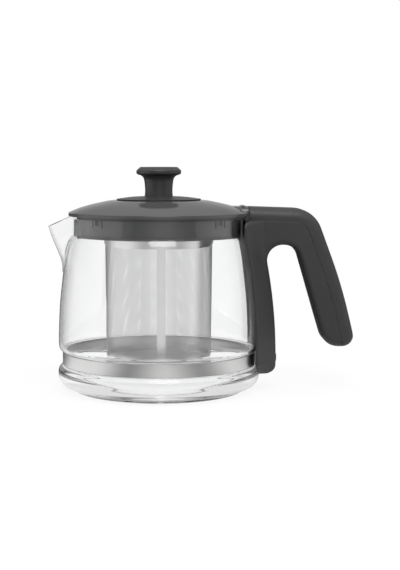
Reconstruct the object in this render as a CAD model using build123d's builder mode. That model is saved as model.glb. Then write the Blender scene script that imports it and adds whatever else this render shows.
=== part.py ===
from build123d import *
import os
from math import acos, cos, degrees, radians, sin, sqrt

# Glass tea jug with a lid and an infuser basket. Millimetres, +Z up.
# The origin is on the jug's axis, at the table. The spout points to -X and the handle to +X.

# ------------------------------------------------------------------ driving dimensions

# Glass jug: radii from the axis, heights from the table
glass_wall = 2.4
foot_inset = 9.55
foot_width = 5.5
foot_height = 1.4
dimple_radius = 26.0
dimple_depth = 0.8
floor_thickness = 4.1
bulge_proud = 0.35
bulge_z = 10.7
groove_z = 18.4
groove_depth = 3.55
belly_radius = 70.05
belly_rise = 4.0
body_height = 81.2
shoulder_step = 2.3
shoulder_drop = 4.0
neck_radius = 60.3
neck_height = 12.4

# Slopes where the parts of the glass profile meet
foot_slope = (1, 0.2)
groove_low_slope = (-1, 0.3)
groove_high_slope = (1, 0.1)
groove_low_pull = [1.2, 0.6]
side_slope = (0, 1)
shoulder_slope = (-0.45, 1)
floor_slope = (1, 0.1)
inner_groove_lean = 0.6

# Spout
spout_length = 19.1
spout_drop = 34.0
spout_tip_radius = 5.2
spout_bury = 0.4
spout_lip_step = 2.7
spout_lip_slope = 0.43

# Clamp band, its bracket and its fasteners
band_height = 8.8
band_thickness = 0.8
band_clearance = 0.1
bracket_sheet = 1.2
bracket_depth = 7.8
bracket_angle = 14.0
nut_width = 7.0
nut_thickness = 2.6
nut_slack = 0.2
nut_chamfer = 0.4
thread_fit = 0.02
screw_radius = 2.0
screw_drop = 1.1
clamp_head_radius = 4.0
clamp_head_height = 3.2
clamp_head_edge = 1.1
clamp_head_proud = 1.2
washer_thickness = 0.9
washer_split = 0.45
hole_clearance = 0.25

# Handle: a hook of constant width with a wider shoe that hugs the glass
handle_width = 26.0
shoe_width = 50.0
shoe_edge = 1.8
shoe_flare = 5.4
shoe_edge_slope = (0.5, -1)
shoe_root_slope = (1, -0.25)
pad_thickness = 0.6
pad_fit = 0.05
pad_width = 40.0
pad_margin = 5.0
shell_wall = 2.6
leg_bottom_z = 12.1
leg_depth = 11.35
leg_corner = 6.0
shoe_drop = 3.0
handle_rise = 6.8
leg_bow_rise = 32.5
leg_bow_radius = 350.0
top_fall = 1.5
bend_reach = 37.4
bend_radius = 21.0
grip_middle_reach = 58.8
grip_middle_drop = 52.1
grip_bow_radius = 340.0
grip_reach = 67.0
grip_drop = 90.3
grip_length = 21.6
toe_radius = 7.5
heel_radius = 12.0
arch_drop = 19.5
arch_right = 24.5
arch_left = 2.8
arch_radius = 10.7
hook_round = 4.0
seam_gap = 0.2
cover_screw_radius = 1.5
cover_screw_length = 11.0
cover_screw_taper = 30
cover_screw_inset = 12.0
cover_screw_pitch = 12.0
cover_boss_radius = 3.2
cover_head_radius = 2.8
cover_head_height = 1.8
web_thickness = 5.0
seam_depth = 9.0
cover_front_length = 24.0
leg_cavity_width = 18.0
pocket_clearance = 0.4

# Lid
lid_overhang = 2.4
lid_clearance = 0.3
lid_rim_height = 2.5
lid_wall = 2.2
plateau_radius = 27.6
plateau_rise = 8.6
ring_wall = 1.6
ring_depth = 6.3
dome_top_slope = (1, -0.1)
dome_rim_slope = (1, -0.5)
dome_inner_slope = (0.1, -1)
tab_width = 24.0
tab_length = 10.6
tab_rise = 4.1
tab_flat = 0.8
tab_hollow_start = 3.3
skirt_depth = 3.0
skirt_height = 3.0
skirt_gap = 0.4
ridge_width = 4.0
ridge_height = 0.9
liner_thickness = 1.4
liner_edge = 0.45

# Collar that hangs in the neck
collar_clearance = 0.8
collar_wall = 1.8
collar_depth = 14.5
collar_floor = 1.8
tongue_count = 4
tongue_angle = 45.0
tongue_width = 8.6
tongue_slot = 1.3
tongue_length = 6.6
window_width = 4.9
window_height = 3.2
window_drop = 1.7
panel_half_angle = 24.6
panel_depth = 0.4

# Knob and its plate
plate_radius = 29.4
plate_thickness = 1.4
plate_crown = 0.5
plate_edge_slope = (-1, 0.05)
plate_middle_slope = (-1, 0)
knob_radius = 15.5
knob_neck_radius = 9.6
knob_height = 21.3
knob_top_inset = 2.3
knob_edge_share = 0.85
knob_foot_slope = (-0.4, 1)
knob_flare_slope = (0.35, 1)
knob_top_slope = (-1, 0.1)
insert_radius = 4.0
insert_length = 10.0
insert_depth = 2.2
insert_relief = 4.0
insert_groove = 3.4
insert_screw_short = 1.0
knob_head_radius = 3.8
knob_head_height = 2.4
knob_washer_radius = 5.4
knob_washer_thickness = 0.8
socket_sides = 6

# Infuser basket
basket_radius = 38.0
basket_rim_wall = 0.6
basket_rim_height = 12.8
basket_wall_thickness = 0.5
basket_taper = 0.8
basket_drop = 99.3
basket_overlap = 2.0
basket_fit = 0.05
hole_radius = 1.5
hole_columns = 32
hole_rows = 10
seam_columns = 3
base_flange = 4.0
base_ring_pitch = 6.2
base_ring_holes = 6
bayonet_count = 3
bayonet_start = 90.0
bayonet_ring_wall = 2.2
bayonet_gap = 0.4
lug_height = 2.4
lug_angle = 10.0
lug_proud = 1.9
twist_angle = 22.0
lug_slack = 0.3
slot_end_slack = 1.0
ledge_height = 3.2

# ------------------------------------------------------------------ places worked out from them

groove_top = groove_z + band_height + 2 * band_clearance
belly_z = groove_top + belly_rise
neck_z = groove_top + body_height
shoulder_z = neck_z - shoulder_drop
rim_z = neck_z + neck_height
floor_z = foot_height + floor_thickness
foot_radius = belly_radius - foot_inset
bulge_radius = belly_radius + bulge_proud
groove_radius = belly_radius - groove_depth
shoulder_radius = neck_radius + shoulder_step
neck_bore = neck_radius - glass_wall
spout_reach = neck_radius + spout_length
spout_lip_start = neck_radius + spout_lip_step

band_inner = groove_radius + band_clearance
band_outer = band_inner + band_thickness
band_z = groove_z + band_clearance
screw_z = band_z + band_height / 2 - screw_drop

lid_radius = neck_radius + lid_overhang
lid_z = rim_z + lid_clearance
lid_top = lid_z + lid_rim_height
plateau_z = lid_top + plateau_rise
plate_top = plateau_z + plate_thickness
collar_bottom = lid_z - collar_depth
collar_radius = neck_bore - collar_clearance
collar_inner = collar_radius - collar_wall
ring_outer = collar_inner - band_clearance
ring_bottom = lid_z - ring_depth

tab_reach = lid_radius - tab_flat
tab_root = tab_reach - tab_length
handle_front = tab_reach + lid_clearance
handle_top = rim_z + handle_rise
shoe_top = rim_z - shoe_drop
cover_screw_x = handle_front + cover_screw_inset

bayonet_inner = basket_radius + bayonet_gap
ledge_z = collar_bottom + ledge_height
slot_top = ledge_z + lug_height + 2 * lug_slack
basket_rim_top = slot_top + lug_slack
basket_rim_bottom = basket_rim_top - basket_rim_height
basket_bottom = rim_z - basket_drop
basket_wall_top = basket_rim_bottom + basket_overlap
basket_top_radius = basket_radius - basket_rim_wall - basket_fit
basket_bottom_radius = basket_top_radius - basket_taper

# The knob's side, from its foot to its flare: share of the way out to its edge, share of its height
knob_curve = [(0.0, 0.21), (0.15, 0.63), (0.58, 0.72)]

# The dome, from the plateau to the rim: share of the way out, share of the fall
dome_curve = [(0.0, 0.0), (0.38, 0.20), (0.60, 0.38), (0.78, 0.60), (1.0, 1.0)]

# The side of the body, between the belly and the shoulder: share of the height, share of the taper
side_curve = [(0.28, 0.06), (0.44, 0.17), (0.61, 0.33), (0.76, 0.55), (0.90, 0.75)]
side_points = [
    (
        belly_radius + share * (shoulder_radius - belly_radius),
        belly_z + height * (shoulder_z - belly_z),
    )
    for height, share in side_curve
]


def plane_at(angle):
    """Upright plane through the jug's axis, its X pointing outwards at the angle in degrees."""
    turn = radians(angle)
    return Plane(origin=(0, 0, 0), x_dir=(cos(turn), sin(turn), 0), z_dir=(sin(turn), -cos(turn), 0))


def side_radius(height):
    """Outer radius of the glass at a height between the belly and the shoulder."""
    known = [(belly_radius, belly_z), *side_points, (shoulder_radius, shoulder_z)]
    for (low_r, low_z), (high_r, high_z) in zip(known, known[1:]):
        if low_z <= height <= high_z:
            return low_r + (high_r - low_r) * (height - low_z) / (high_z - low_z)
    return shoulder_radius


def moved(points, dx):
    """The same points, shifted along the first axis."""
    return [(x + dx, z) for x, z in points]


# ------------------------------------------------------------------ glass jug


def jug_outside():
    """Half section inside the jug's outer surface."""
    foot_inner = foot_radius - foot_width
    with BuildSketch(Plane.XZ) as section:
        with BuildLine():
            Polyline(
                (0, rim_z),
                (0, foot_height + dimple_depth),
                (dimple_radius, foot_height + dimple_depth),
                (dimple_radius + dimple_depth, foot_height),
                (foot_inner - foot_height, foot_height),
                (foot_inner, 0),
                (foot_radius, 0),
            )
            Spline((foot_radius, 0), (bulge_radius, bulge_z), tangents=[foot_slope, side_slope])
            Spline(
                (bulge_radius, bulge_z),
                (groove_radius, groove_z),
                tangents=[side_slope, groove_low_slope],
                tangent_scalars=groove_low_pull,
            )
            Line((groove_radius, groove_z), (groove_radius, groove_top))
            Spline(
                (groove_radius, groove_top),
                (belly_radius, belly_z),
                tangents=[groove_high_slope, side_slope],
            )
            Spline(
                (belly_radius, belly_z),
                *side_points,
                (shoulder_radius, shoulder_z),
                tangents=[side_slope, shoulder_slope],
            )
            Spline(
                (shoulder_radius, shoulder_z),
                (neck_radius, neck_z),
                tangents=[shoulder_slope, side_slope],
            )
            Polyline((neck_radius, neck_z), (neck_radius, rim_z), (0, rim_z))
        make_face()
    return section.sketch


def jug_inside():
    """Half section of the hollow, one glass wall inside the outer surface."""
    bulge = bulge_radius - glass_wall
    groove = groove_radius - glass_wall
    belly = belly_radius - glass_wall
    shoulder = shoulder_radius - glass_wall
    with BuildSketch(Plane.XZ) as section:
        with BuildLine():
            Polyline((0, rim_z + glass_wall), (0, floor_z), (foot_radius, floor_z))
            Spline(
                (foot_radius, floor_z),
                (bulge, bulge_z + glass_wall),
                (groove, groove_z + glass_wall),
                tangents=[floor_slope, (-inner_groove_lean, 1)],
            )
            Line((groove, groove_z + glass_wall), (groove, groove_top - glass_wall))
            Spline(
                (groove, groove_top - glass_wall),
                (belly, belly_z),
                tangents=[(inner_groove_lean, 1), side_slope],
            )
            Spline(
                (belly, belly_z),
                *moved(side_points, -glass_wall),
                (shoulder, shoulder_z),
                tangents=[side_slope, shoulder_slope],
            )
            Spline(
                (shoulder, shoulder_z),
                (neck_bore, neck_z),
                tangents=[shoulder_slope, side_slope],
            )
            Polyline((neck_bore, neck_z), (neck_bore, rim_z + glass_wall), (0, rim_z + glass_wall))
        make_face()
    return section.sketch


def spout_outline(height, reach, tip, root):
    """Plan of the spout: a round tip joined to the neck's circle by two tangents."""
    lean = acos((root - tip) / (reach - tip))
    across = Vector(-cos(lean), sin(lean))
    back = Vector(-cos(lean), -sin(lean))
    centre = Vector(tip - reach, 0)
    with BuildSketch(Plane.XY.offset(height)) as outline:
        with BuildLine():
            Line(root * across, centre + tip * across)
            ThreePointArc(centre + tip * across, (-reach, 0), centre + tip * back)
            Line(centre + tip * back, root * back)
            Line(root * back, root * across)
        make_face()
    return outline.sketch


def make_glass_jug():
    """Blown jug with a groove for the band, a foot ring and a pulled spout."""
    spout_z = rim_z - spout_drop
    start = side_radius(spout_z) - spout_bury
    with BuildPart() as glass_jug:
        revolve(jug_outside(), axis=Axis.Z)
        loft(
            [
                spout_outline(spout_z, start, spout_tip_radius, neck_radius),
                spout_outline(rim_z, spout_reach, spout_tip_radius, neck_radius),
            ],
            ruled=True,
        )
        revolve(jug_inside(), axis=Axis.Z, mode=Mode.SUBTRACT)
        bore_tip = spout_tip_radius - glass_wall
        loft(
            [
                spout_outline(spout_z, start - glass_wall, bore_tip, neck_bore),
                spout_outline(rim_z, spout_reach - glass_wall, bore_tip, neck_bore),
            ],
            ruled=True,
            mode=Mode.SUBTRACT,
        )
        lip_end = 2 * spout_reach
        lip_fall = (lip_end - spout_lip_start) * spout_lip_slope
        with BuildSketch(Plane.XZ):
            with BuildLine():
                Polyline(
                    (-spout_lip_start, rim_z),
                    (-lip_end, rim_z - lip_fall),
                    (-lip_end, rim_z + glass_wall),
                    (-spout_lip_start, rim_z + glass_wall),
                    close=True,
                )
            make_face()
        extrude(amount=neck_radius, both=True, mode=Mode.SUBTRACT)
    return glass_jug.part


# ------------------------------------------------------------------ clamp band and its fasteners


def make_clamp_band():
    """Flat stainless ring in the jug's groove."""
    with BuildPart() as clamp_band:
        with BuildSketch(Plane.XZ):
            with Locations((band_inner, band_z)):
                Rectangle(band_thickness, band_height, align=(Align.MIN, Align.MIN))
        revolve(axis=Axis.Z)
    return clamp_band.part


def make_band_bracket():
    """U bracket welded to the band, its web holding the clamp nut."""
    arm_gap = nut_width + 2 * nut_slack
    arm_width = arm_gap + 2 * bracket_sheet
    web_face = band_outer + bracket_depth
    with BuildPart() as band_bracket:
        with BuildSketch(plane_at(-bracket_angle / 2)):
            with Locations((band_outer, band_z)):
                Rectangle(bracket_sheet, band_height, align=(Align.MIN, Align.MIN))
        revolve(axis=Axis.Z, revolution_arc=bracket_angle)
        with Locations((web_face, 0, band_z)):
            Box(
                bracket_depth - bracket_sheet / 2,
                arm_width,
                band_height,
                align=(Align.MAX, Align.CENTER, Align.MIN),
            )
        with Locations((web_face - bracket_sheet, 0, band_z)):
            Box(
                bracket_depth - 2 * bracket_sheet,
                arm_gap,
                band_height,
                align=(Align.MAX, Align.CENTER, Align.MIN),
                mode=Mode.SUBTRACT,
            )
        with Locations(Location((web_face, 0, screw_z), (0, 90, 0))):
            Cylinder(screw_radius + hole_clearance, bracket_depth, mode=Mode.SUBTRACT)
    return band_bracket.part


def nut_face():
    """Where the nut bears on the inside of the bracket's web."""
    return band_outer + bracket_depth - bracket_sheet


def make_clamp_nut():
    """Square nut between the bracket's arms."""
    with BuildPart() as clamp_nut:
        with Locations((nut_face(), 0, screw_z)):
            Box(nut_thickness, nut_width, nut_width, align=(Align.MAX, Align.CENTER, Align.CENTER))
        with Locations(Location((nut_face(), 0, screw_z), (0, 90, 0))):
            Cylinder(screw_radius + thread_fit, 4 * nut_thickness, mode=Mode.SUBTRACT)
        chamfer(clamp_nut.edges().filter_by(Axis.X).filter_by(GeomType.LINE), nut_chamfer)
    return clamp_nut.part


def leg_back():
    """How far the back of the leg stands out at the screw."""
    return belly_radius + leg_depth


def washer_seat():
    """Floor of the counterbore behind the leg."""
    return leg_back() + clamp_head_proud - clamp_head_height - washer_thickness


def make_clamp_washer():
    """Spring washer under the clamp screw's head, with its split."""
    with BuildPart() as clamp_washer:
        with BuildSketch(Plane.YZ.offset(washer_seat())):
            with Locations((0, screw_z)):
                Circle(clamp_head_radius)
                Circle(screw_radius + hole_clearance, mode=Mode.SUBTRACT)
            with Locations((0, screw_z + clamp_head_radius)):
                Rectangle(washer_split, 2 * clamp_head_radius, mode=Mode.SUBTRACT)
        extrude(amount=washer_thickness)
    return clamp_washer.part


def make_clamp_screw():
    """Domed screw that pulls the band's bracket into the leg."""
    head_seat = washer_seat() + washer_thickness
    tip_x = nut_face() - nut_thickness - bracket_sheet
    with BuildPart() as clamp_screw:
        with BuildSketch(Plane.XZ):
            with BuildLine():
                Polyline(
                    (head_seat + clamp_head_height, screw_z),
                    (tip_x, screw_z),
                    (tip_x, screw_z + screw_radius - nut_slack),
                    (tip_x + nut_slack, screw_z + screw_radius),
                    (head_seat, screw_z + screw_radius),
                    (head_seat, screw_z + clamp_head_radius),
                    (head_seat + clamp_head_edge, screw_z + clamp_head_radius),
                )
                Spline(
                    (head_seat + clamp_head_edge, screw_z + clamp_head_radius),
                    (head_seat + clamp_head_height, screw_z),
                    tangents=[(1, 0), (0, -1)],
                )
            make_face()
        revolve(axis=Axis((0, 0, screw_z), (1, 0, 0)))
        with Locations((head_seat + clamp_head_height, 0, screw_z)):
            Box(clamp_head_height, screw_radius, screw_radius, mode=Mode.SUBTRACT)
    return clamp_screw.part


# ------------------------------------------------------------------ handle


def hook_corners():
    """Corners of the hook's side view and the radius that rounds each, from the front round to the leg."""
    x = belly_radius
    low = rim_z - grip_drop
    arch_z = rim_z - arch_drop
    back = x + leg_depth
    return [
        (x + bend_reach, handle_top - top_fall, bend_radius),
        (x + grip_middle_reach, rim_z - grip_middle_drop, grip_bow_radius),
        (x + grip_reach, low, toe_radius),
        (x + grip_reach - grip_length, low, heel_radius),
        (x + arch_right, arch_z, arch_radius),
        (x + arch_left, arch_z, arch_radius),
        (back, screw_z + leg_bow_rise, leg_bow_radius),
        (back, leg_bottom_z, leg_corner),
    ]


def handle_outline():
    """Side view of the whole hook, reaching into the glass so that it can be cut to it."""
    corners = hook_corners()
    inside = neck_bore
    with BuildSketch(Plane.XZ) as outline:
        with BuildLine():
            FilletPolyline(
                (handle_front, handle_top),
                *[(x, z) for x, z, radius in corners],
                (inside, leg_bottom_z),
                radius=[radius for x, z, radius in corners],
            )
            Polyline(
                (inside, leg_bottom_z),
                (inside, shoe_top),
                (handle_front, shoe_top),
                (handle_front, handle_top),
            )
        make_face()
    return outline.sketch


def glass_envelope(gap):
    """Half section of the room that the handle leaves for the glass, straight past neck and groove."""
    with BuildSketch(Plane.XZ) as section:
        with BuildLine():
            Polyline(
                (0, shoe_top),
                (0, -glass_wall),
                (belly_radius + gap, -glass_wall),
                (belly_radius + gap, belly_z),
            )
            Spline(
                (belly_radius + gap, belly_z),
                *moved(side_points, gap),
                (shoulder_radius + gap, shoulder_z),
                tangents=[side_slope, shoulder_slope],
            )
            Polyline(
                (shoulder_radius + gap, shoulder_z),
                (shoulder_radius + gap, shoe_top + glass_wall),
                (0, shoe_top + glass_wall),
                (0, shoe_top),
            )
        make_face()
    return section.sketch


def shoe_section(height, radius):
    """Plan of the flared shoe where the glass has the radius."""
    half = shoe_width / 2
    waist = handle_width / 2 - seam_gap
    edge = sqrt(radius**2 - half**2) + shoe_edge
    root = radius + shoe_flare
    with BuildSketch(Plane.XY.offset(height)) as plan:
        with BuildLine():
            side = Polyline((radius - half / 2, 0), (radius - half / 2, half), (edge, half))
            curve = Spline(side @ 1, (root, waist), tangents=[shoe_edge_slope, shoe_root_slope])
            close = Line(curve @ 1, (root, 0))
            mirror(side, about=Plane.XZ)
            mirror(curve, about=Plane.XZ)
            mirror(close, about=Plane.XZ)
        make_face()
    return plan.sketch


def make_handle_blank():
    """The whole handle as one block: hook with rounded edges, shoe, cut to the glass."""
    with BuildPart() as blank:
        extrude(handle_outline(), amount=handle_width / 2, both=True)
        sides = blank.faces().filter_by(Axis.Y).edges()
        fillet(sides.filter_by(lambda edge: edge.center().X > handle_front + hook_round), hook_round)
        levels = [(leg_bottom_z, belly_radius), (belly_z, belly_radius)]
        levels += [(z, r) for r, z in side_points]
        levels += [(shoulder_z, shoulder_radius), (shoe_top, shoulder_radius)]
        loft([shoe_section(z, radius + pad_thickness) for z, radius in levels], ruled=True)
        revolve(glass_envelope(pad_thickness), axis=Axis.Z, mode=Mode.SUBTRACT)
    return blank.part


def cover_zone(depth):
    """Strip of the side view that lies within the depth of the hook's outer edge."""
    (bend, middle, toe) = hook_corners()[:3]
    with BuildSketch(Plane.XZ) as zone:
        with BuildLine():
            FilletPolyline(
                (handle_front - handle_width, handle_top),
                bend[:2],
                middle[:2],
                (toe[0], toe[1] - handle_width),
                radius=[bend[2], middle[2]],
            )
        trace(line_width=2 * depth)
    return zone.sketch


def hollow_outline():
    """Side view of the handle's inner space, one shell wall inside the hook."""
    with BuildSketch(Plane.XZ) as outline:
        add(handle_outline())
        offset(amount=-shell_wall, mode=Mode.REPLACE)
    return outline.sketch


def web_top():
    """Top of the web under the front of the cover."""
    return handle_top - seam_depth - seam_gap


def make_handle_body(blank):
    """Shoe, leg, arch and the inner half of the grip, as one hollow moulding."""
    hollow = hollow_outline()
    front_end = handle_front + cover_front_length
    leg_top = web_top() - web_thickness
    with BuildPart() as handle_body:
        add(blank)
        extrude(
            cover_zone(seam_depth + seam_gap),
            amount=handle_width,
            both=True,
            mode=Mode.SUBTRACT,
        )
        with BuildSketch(Plane.XZ):
            add(hollow)
            with Locations((front_end, 0)):
                Rectangle(
                    front_end,
                    2 * handle_top,
                    align=(Align.MAX, Align.CENTER),
                    mode=Mode.SUBTRACT,
                )
        extrude(amount=handle_width / 2 - shell_wall, both=True, mode=Mode.SUBTRACT)
        with BuildSketch(Plane.XZ):
            add(hollow)
            with Locations((0, belly_z + pad_margin / 2)):
                Rectangle(
                    front_end,
                    leg_top - belly_z - pad_margin / 2,
                    align=(Align.MIN, Align.MIN),
                    mode=Mode.INTERSECT,
                )
        extrude(amount=leg_cavity_width / 2, both=True, mode=Mode.SUBTRACT)
        with Locations((0, 0, band_z - pocket_clearance)):
            Box(
                band_outer + bracket_depth + pocket_clearance,
                leg_cavity_width,
                band_height + 2 * pocket_clearance,
                align=(Align.MIN, Align.CENTER, Align.MIN),
                mode=Mode.SUBTRACT,
            )
        with BuildSketch(Plane.YZ.offset(washer_seat())):
            with Locations((0, screw_z)):
                Circle(clamp_head_radius + 2 * hole_clearance)
        extrude(amount=leg_depth, mode=Mode.SUBTRACT)
        with BuildSketch(Plane.YZ.offset(band_outer)):
            with Locations((0, screw_z)):
                Circle(screw_radius + hole_clearance)
        extrude(amount=2 * leg_depth, mode=Mode.SUBTRACT)
        with BuildSketch(Plane.XY.offset(leg_top - web_thickness / 2)):
            with Locations((cover_screw_x, 0)):
                with GridLocations(0, cover_screw_pitch, 1, 2):
                    Circle(cover_screw_radius + hole_clearance)
        extrude(amount=2 * web_thickness, mode=Mode.SUBTRACT)
    return handle_body.part


def make_handle_cover(blank):
    """Outer half of the grip, a hollow moulding with two screw bosses."""
    boss_foot = handle_top - seam_depth
    boss_height = seam_depth - shell_wall
    with BuildPart() as handle_cover:
        add(blank)
        extrude(cover_zone(seam_depth), amount=handle_width, both=True, mode=Mode.INTERSECT)
        extrude(
            hollow_outline(),
            amount=handle_width / 2 - shell_wall,
            both=True,
            mode=Mode.SUBTRACT,
        )
        with BuildSketch(Plane.XY.offset(boss_foot)):
            with Locations((cover_screw_x, 0)):
                with GridLocations(0, cover_screw_pitch, 1, 2):
                    Circle(cover_boss_radius)
        extrude(amount=boss_height)
        with BuildSketch(Plane.XY.offset(boss_foot - seam_gap)):
            with Locations((cover_screw_x, 0)):
                with GridLocations(0, cover_screw_pitch, 1, 2):
                    Circle(cover_screw_radius)
        extrude(amount=boss_height, mode=Mode.SUBTRACT)
    return handle_cover.part


def make_cover_screws():
    """Two self-tapping screws, their heads under the web in the hollow of the leg."""
    head_top = web_top() - web_thickness
    with BuildPart() as cover_screws:
        with BuildSketch(Plane.XY.offset(head_top)):
            with Locations((cover_screw_x, 0)):
                with GridLocations(0, cover_screw_pitch, 1, 2):
                    Circle(cover_screw_radius)
        extrude(amount=cover_screw_length - cover_screw_radius)
        tips = cover_screws.faces().sort_by(Axis.Z)[-2:]
        extrude(tips, amount=cover_screw_radius, taper=cover_screw_taper)
        with BuildSketch(Plane.XY.offset(head_top)):
            with Locations((cover_screw_x, 0)):
                with GridLocations(0, cover_screw_pitch, 1, 2):
                    Circle(cover_head_radius)
        extrude(amount=-cover_head_height)
        with Locations((cover_screw_x, 0, head_top - cover_head_height)):
            with GridLocations(0, cover_screw_pitch, 1, 2):
                Box(cover_screw_radius, cover_screw_radius, cover_head_height, mode=Mode.SUBTRACT)
    return cover_screws.part


def make_handle_pad():
    """Soft pad that bonds the shoe to the glass."""
    pad_low = belly_z + pad_margin
    pad_high = shoulder_z - pad_margin
    pad_angle = degrees(pad_width / belly_radius)
    with BuildPart() as handle_pad:
        revolve(glass_envelope(pad_thickness), axis=Axis.Z)
        revolve(glass_envelope(pad_fit), axis=Axis.Z, mode=Mode.SUBTRACT)
        with BuildSketch(Plane.XY.offset(pad_low)):
            with BuildLine():
                reach = 2 * belly_radius
                half = reach * sin(radians(pad_angle / 2))
                Polyline((0, 0), (reach, half), (reach, -half), close=True)
            make_face()
        extrude(amount=pad_high - pad_low, mode=Mode.INTERSECT)
    return handle_pad.part


# ------------------------------------------------------------------ lid


def dome_height(drop):
    """Curve of the dome from the plateau to the rim, lowered by the drop, as points."""
    span = lid_radius - plateau_radius
    return [(plateau_radius + u * span, plateau_z - drop - v * plateau_rise) for u, v in dome_curve]


def make_lid_dome():
    """Domed lid: rim flange, inner ring with four snap hooks, thumb tab with a ridge and a short skirt."""
    outer = dome_height(0)
    inner = dome_height(lid_wall)
    ring_inner = ring_outer - ring_wall
    with BuildPart() as lid_dome:
        with BuildSketch(Plane.XZ):
            with BuildLine():
                Line((0, plateau_z), outer[0])
                Spline(*outer, tangents=[dome_top_slope, dome_rim_slope])
                Polyline(
                    outer[-1],
                    (lid_radius, lid_z),
                    (0, lid_z),
                    (0, plateau_z),
                )
            make_face()
            with BuildLine():
                Line((0, plateau_z - lid_wall), inner[0])
                Spline(*inner[:-1], (ring_inner, lid_top), tangents=[dome_top_slope, dome_inner_slope])
                Polyline(
                    (ring_inner, lid_top),
                    (ring_inner, lid_z - lid_wall),
                    (0, lid_z - lid_wall),
                    (0, plateau_z - lid_wall),
                )
            make_face(mode=Mode.SUBTRACT)
            with Locations((ring_inner, ring_bottom)):
                Rectangle(ring_wall, ring_depth, align=(Align.MIN, Align.MIN))
        revolve(axis=Axis.Z)
        with Locations((tab_reach, 0, lid_z)):
            Box(
                lid_overhang,
                lid_radius,
                plateau_rise,
                align=(Align.MIN, Align.CENTER, Align.MIN),
                mode=Mode.SUBTRACT,
            )
        with BuildSketch(Plane.XY.offset(lid_z)):
            with Locations((tab_reach, 0)):
                Rectangle(skirt_depth, tab_width, align=(Align.MAX, Align.CENTER))
            Circle(neck_radius + skirt_gap, mode=Mode.SUBTRACT)
        extrude(amount=-skirt_height)
        with Locations((tab_reach, 0, lid_z)):
            Box(
                tab_reach - tab_root,
                tab_width,
                lid_rim_height + tab_rise,
                align=(Align.MAX, Align.CENTER, Align.MIN),
            )
        with Locations((tab_reach - lid_wall, 0, lid_z)):
            Box(
                tab_reach - ring_outer - tab_hollow_start,
                tab_width - 2 * lid_wall,
                lid_rim_height + tab_rise - lid_wall,
                align=(Align.MAX, Align.CENTER, Align.MIN),
                mode=Mode.SUBTRACT,
            )
        ridge_x = tab_reach - ridge_width
        with BuildSketch(Plane.XZ):
            with Locations((ridge_x, lid_top + tab_rise)):
                Ellipse(ridge_width / 2, ridge_height)
        extrude(amount=tab_width / 2 - lid_wall, both=True)
        with PolarLocations(ring_outer, tongue_count, start_angle=tongue_angle):
            with Locations((0, 0, lid_z - window_drop - window_height / 2)):
                Box(
                    2 * (collar_wall - panel_depth),
                    window_width - 2 * hole_clearance,
                    window_height - 2 * hole_clearance,
                )
        with Locations((0, 0, plateau_z)):
            Hole(screw_radius + hole_clearance)
    return lid_dome.part


def make_lid_liner():
    """Plate that closes the dome's hollow, clipped inside its ring."""
    radius = ring_outer - ring_wall - band_clearance
    with BuildPart() as lid_liner:
        with BuildSketch(Plane.XY.offset(ring_bottom)):
            Circle(radius)
        extrude(amount=liner_thickness)
        chamfer(lid_liner.edges().group_by(Axis.Z)[-1], liner_edge)
        with BuildSketch(Plane.XY.offset(ring_bottom + liner_thickness)):
            Circle(radius - ring_wall)
            Circle(radius - 2 * ring_wall, mode=Mode.SUBTRACT)
        extrude(amount=liner_thickness)
    return lid_liner.part


def make_lid_collar():
    """Skirt in the neck: snap tongues, a floor, and the ring that holds the basket's lugs."""
    ring_height = slot_top + ledge_height / 2 - collar_bottom
    slot_low = lid_z - tongue_length
    end_angle = degrees(slot_end_slack / bayonet_inner)
    with BuildPart() as lid_collar:
        with BuildSketch(Plane.XZ):
            with Locations((collar_inner, collar_bottom)):
                Rectangle(collar_wall, collar_depth, align=(Align.MIN, Align.MIN))
            with Locations((bayonet_inner, collar_bottom)):
                Rectangle(bayonet_ring_wall, ring_height, align=(Align.MIN, Align.MIN))
                Rectangle(
                    collar_inner - bayonet_inner,
                    collar_floor,
                    align=(Align.MIN, Align.MIN),
                )
        revolve(axis=Axis.Z)
        with PolarLocations(collar_radius, tongue_count, start_angle=tongue_angle):
            slot_y = tongue_width / 2
            with Locations((0, slot_y, slot_low), (0, -slot_y, slot_low)):
                Box(
                    4 * collar_wall,
                    tongue_slot,
                    tongue_length,
                    align=(Align.CENTER, Align.CENTER, Align.MIN),
                    mode=Mode.SUBTRACT,
                )
            with Locations((0, 0, lid_z - window_drop)):
                Box(
                    4 * collar_wall,
                    window_width,
                    window_height,
                    align=(Align.CENTER, Align.CENTER, Align.MAX),
                    mode=Mode.SUBTRACT,
                )
        for side in (-90, 90):
            with BuildSketch(plane_at(side - panel_half_angle)):
                with Locations((collar_radius - panel_depth, collar_bottom + collar_floor)):
                    Rectangle(collar_wall, collar_depth, align=(Align.MIN, Align.MIN))
            revolve(axis=Axis.Z, revolution_arc=2 * panel_half_angle, mode=Mode.SUBTRACT)
        for start in bayonet_angles():
            slot_start = start - lug_angle / 2 - end_angle
            slot_arc = lug_angle + 2 * end_angle + twist_angle
            with BuildSketch(plane_at(slot_start)):
                with Locations((bayonet_inner - bayonet_gap, ledge_z)):
                    Rectangle(
                        bayonet_ring_wall + 2 * bayonet_gap,
                        slot_top - ledge_z,
                        align=(Align.MIN, Align.MIN),
                    )
            revolve(axis=Axis.Z, revolution_arc=slot_arc, mode=Mode.SUBTRACT)
            entry_arc = lug_angle + 2 * end_angle
            with BuildSketch(plane_at(slot_start + slot_arc - entry_arc)):
                with Locations((bayonet_inner - bayonet_gap, collar_bottom - bayonet_gap)):
                    Rectangle(
                        bayonet_ring_wall + 2 * bayonet_gap,
                        slot_top - collar_bottom + bayonet_gap,
                        align=(Align.MIN, Align.MIN),
                    )
            revolve(axis=Axis.Z, revolution_arc=entry_arc, mode=Mode.SUBTRACT)
    return lid_collar.part


def bayonet_angles():
    """Where the basket's lugs stand when it is locked."""
    return [bayonet_start + index * 360 / bayonet_count for index in range(bayonet_count)]


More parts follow.
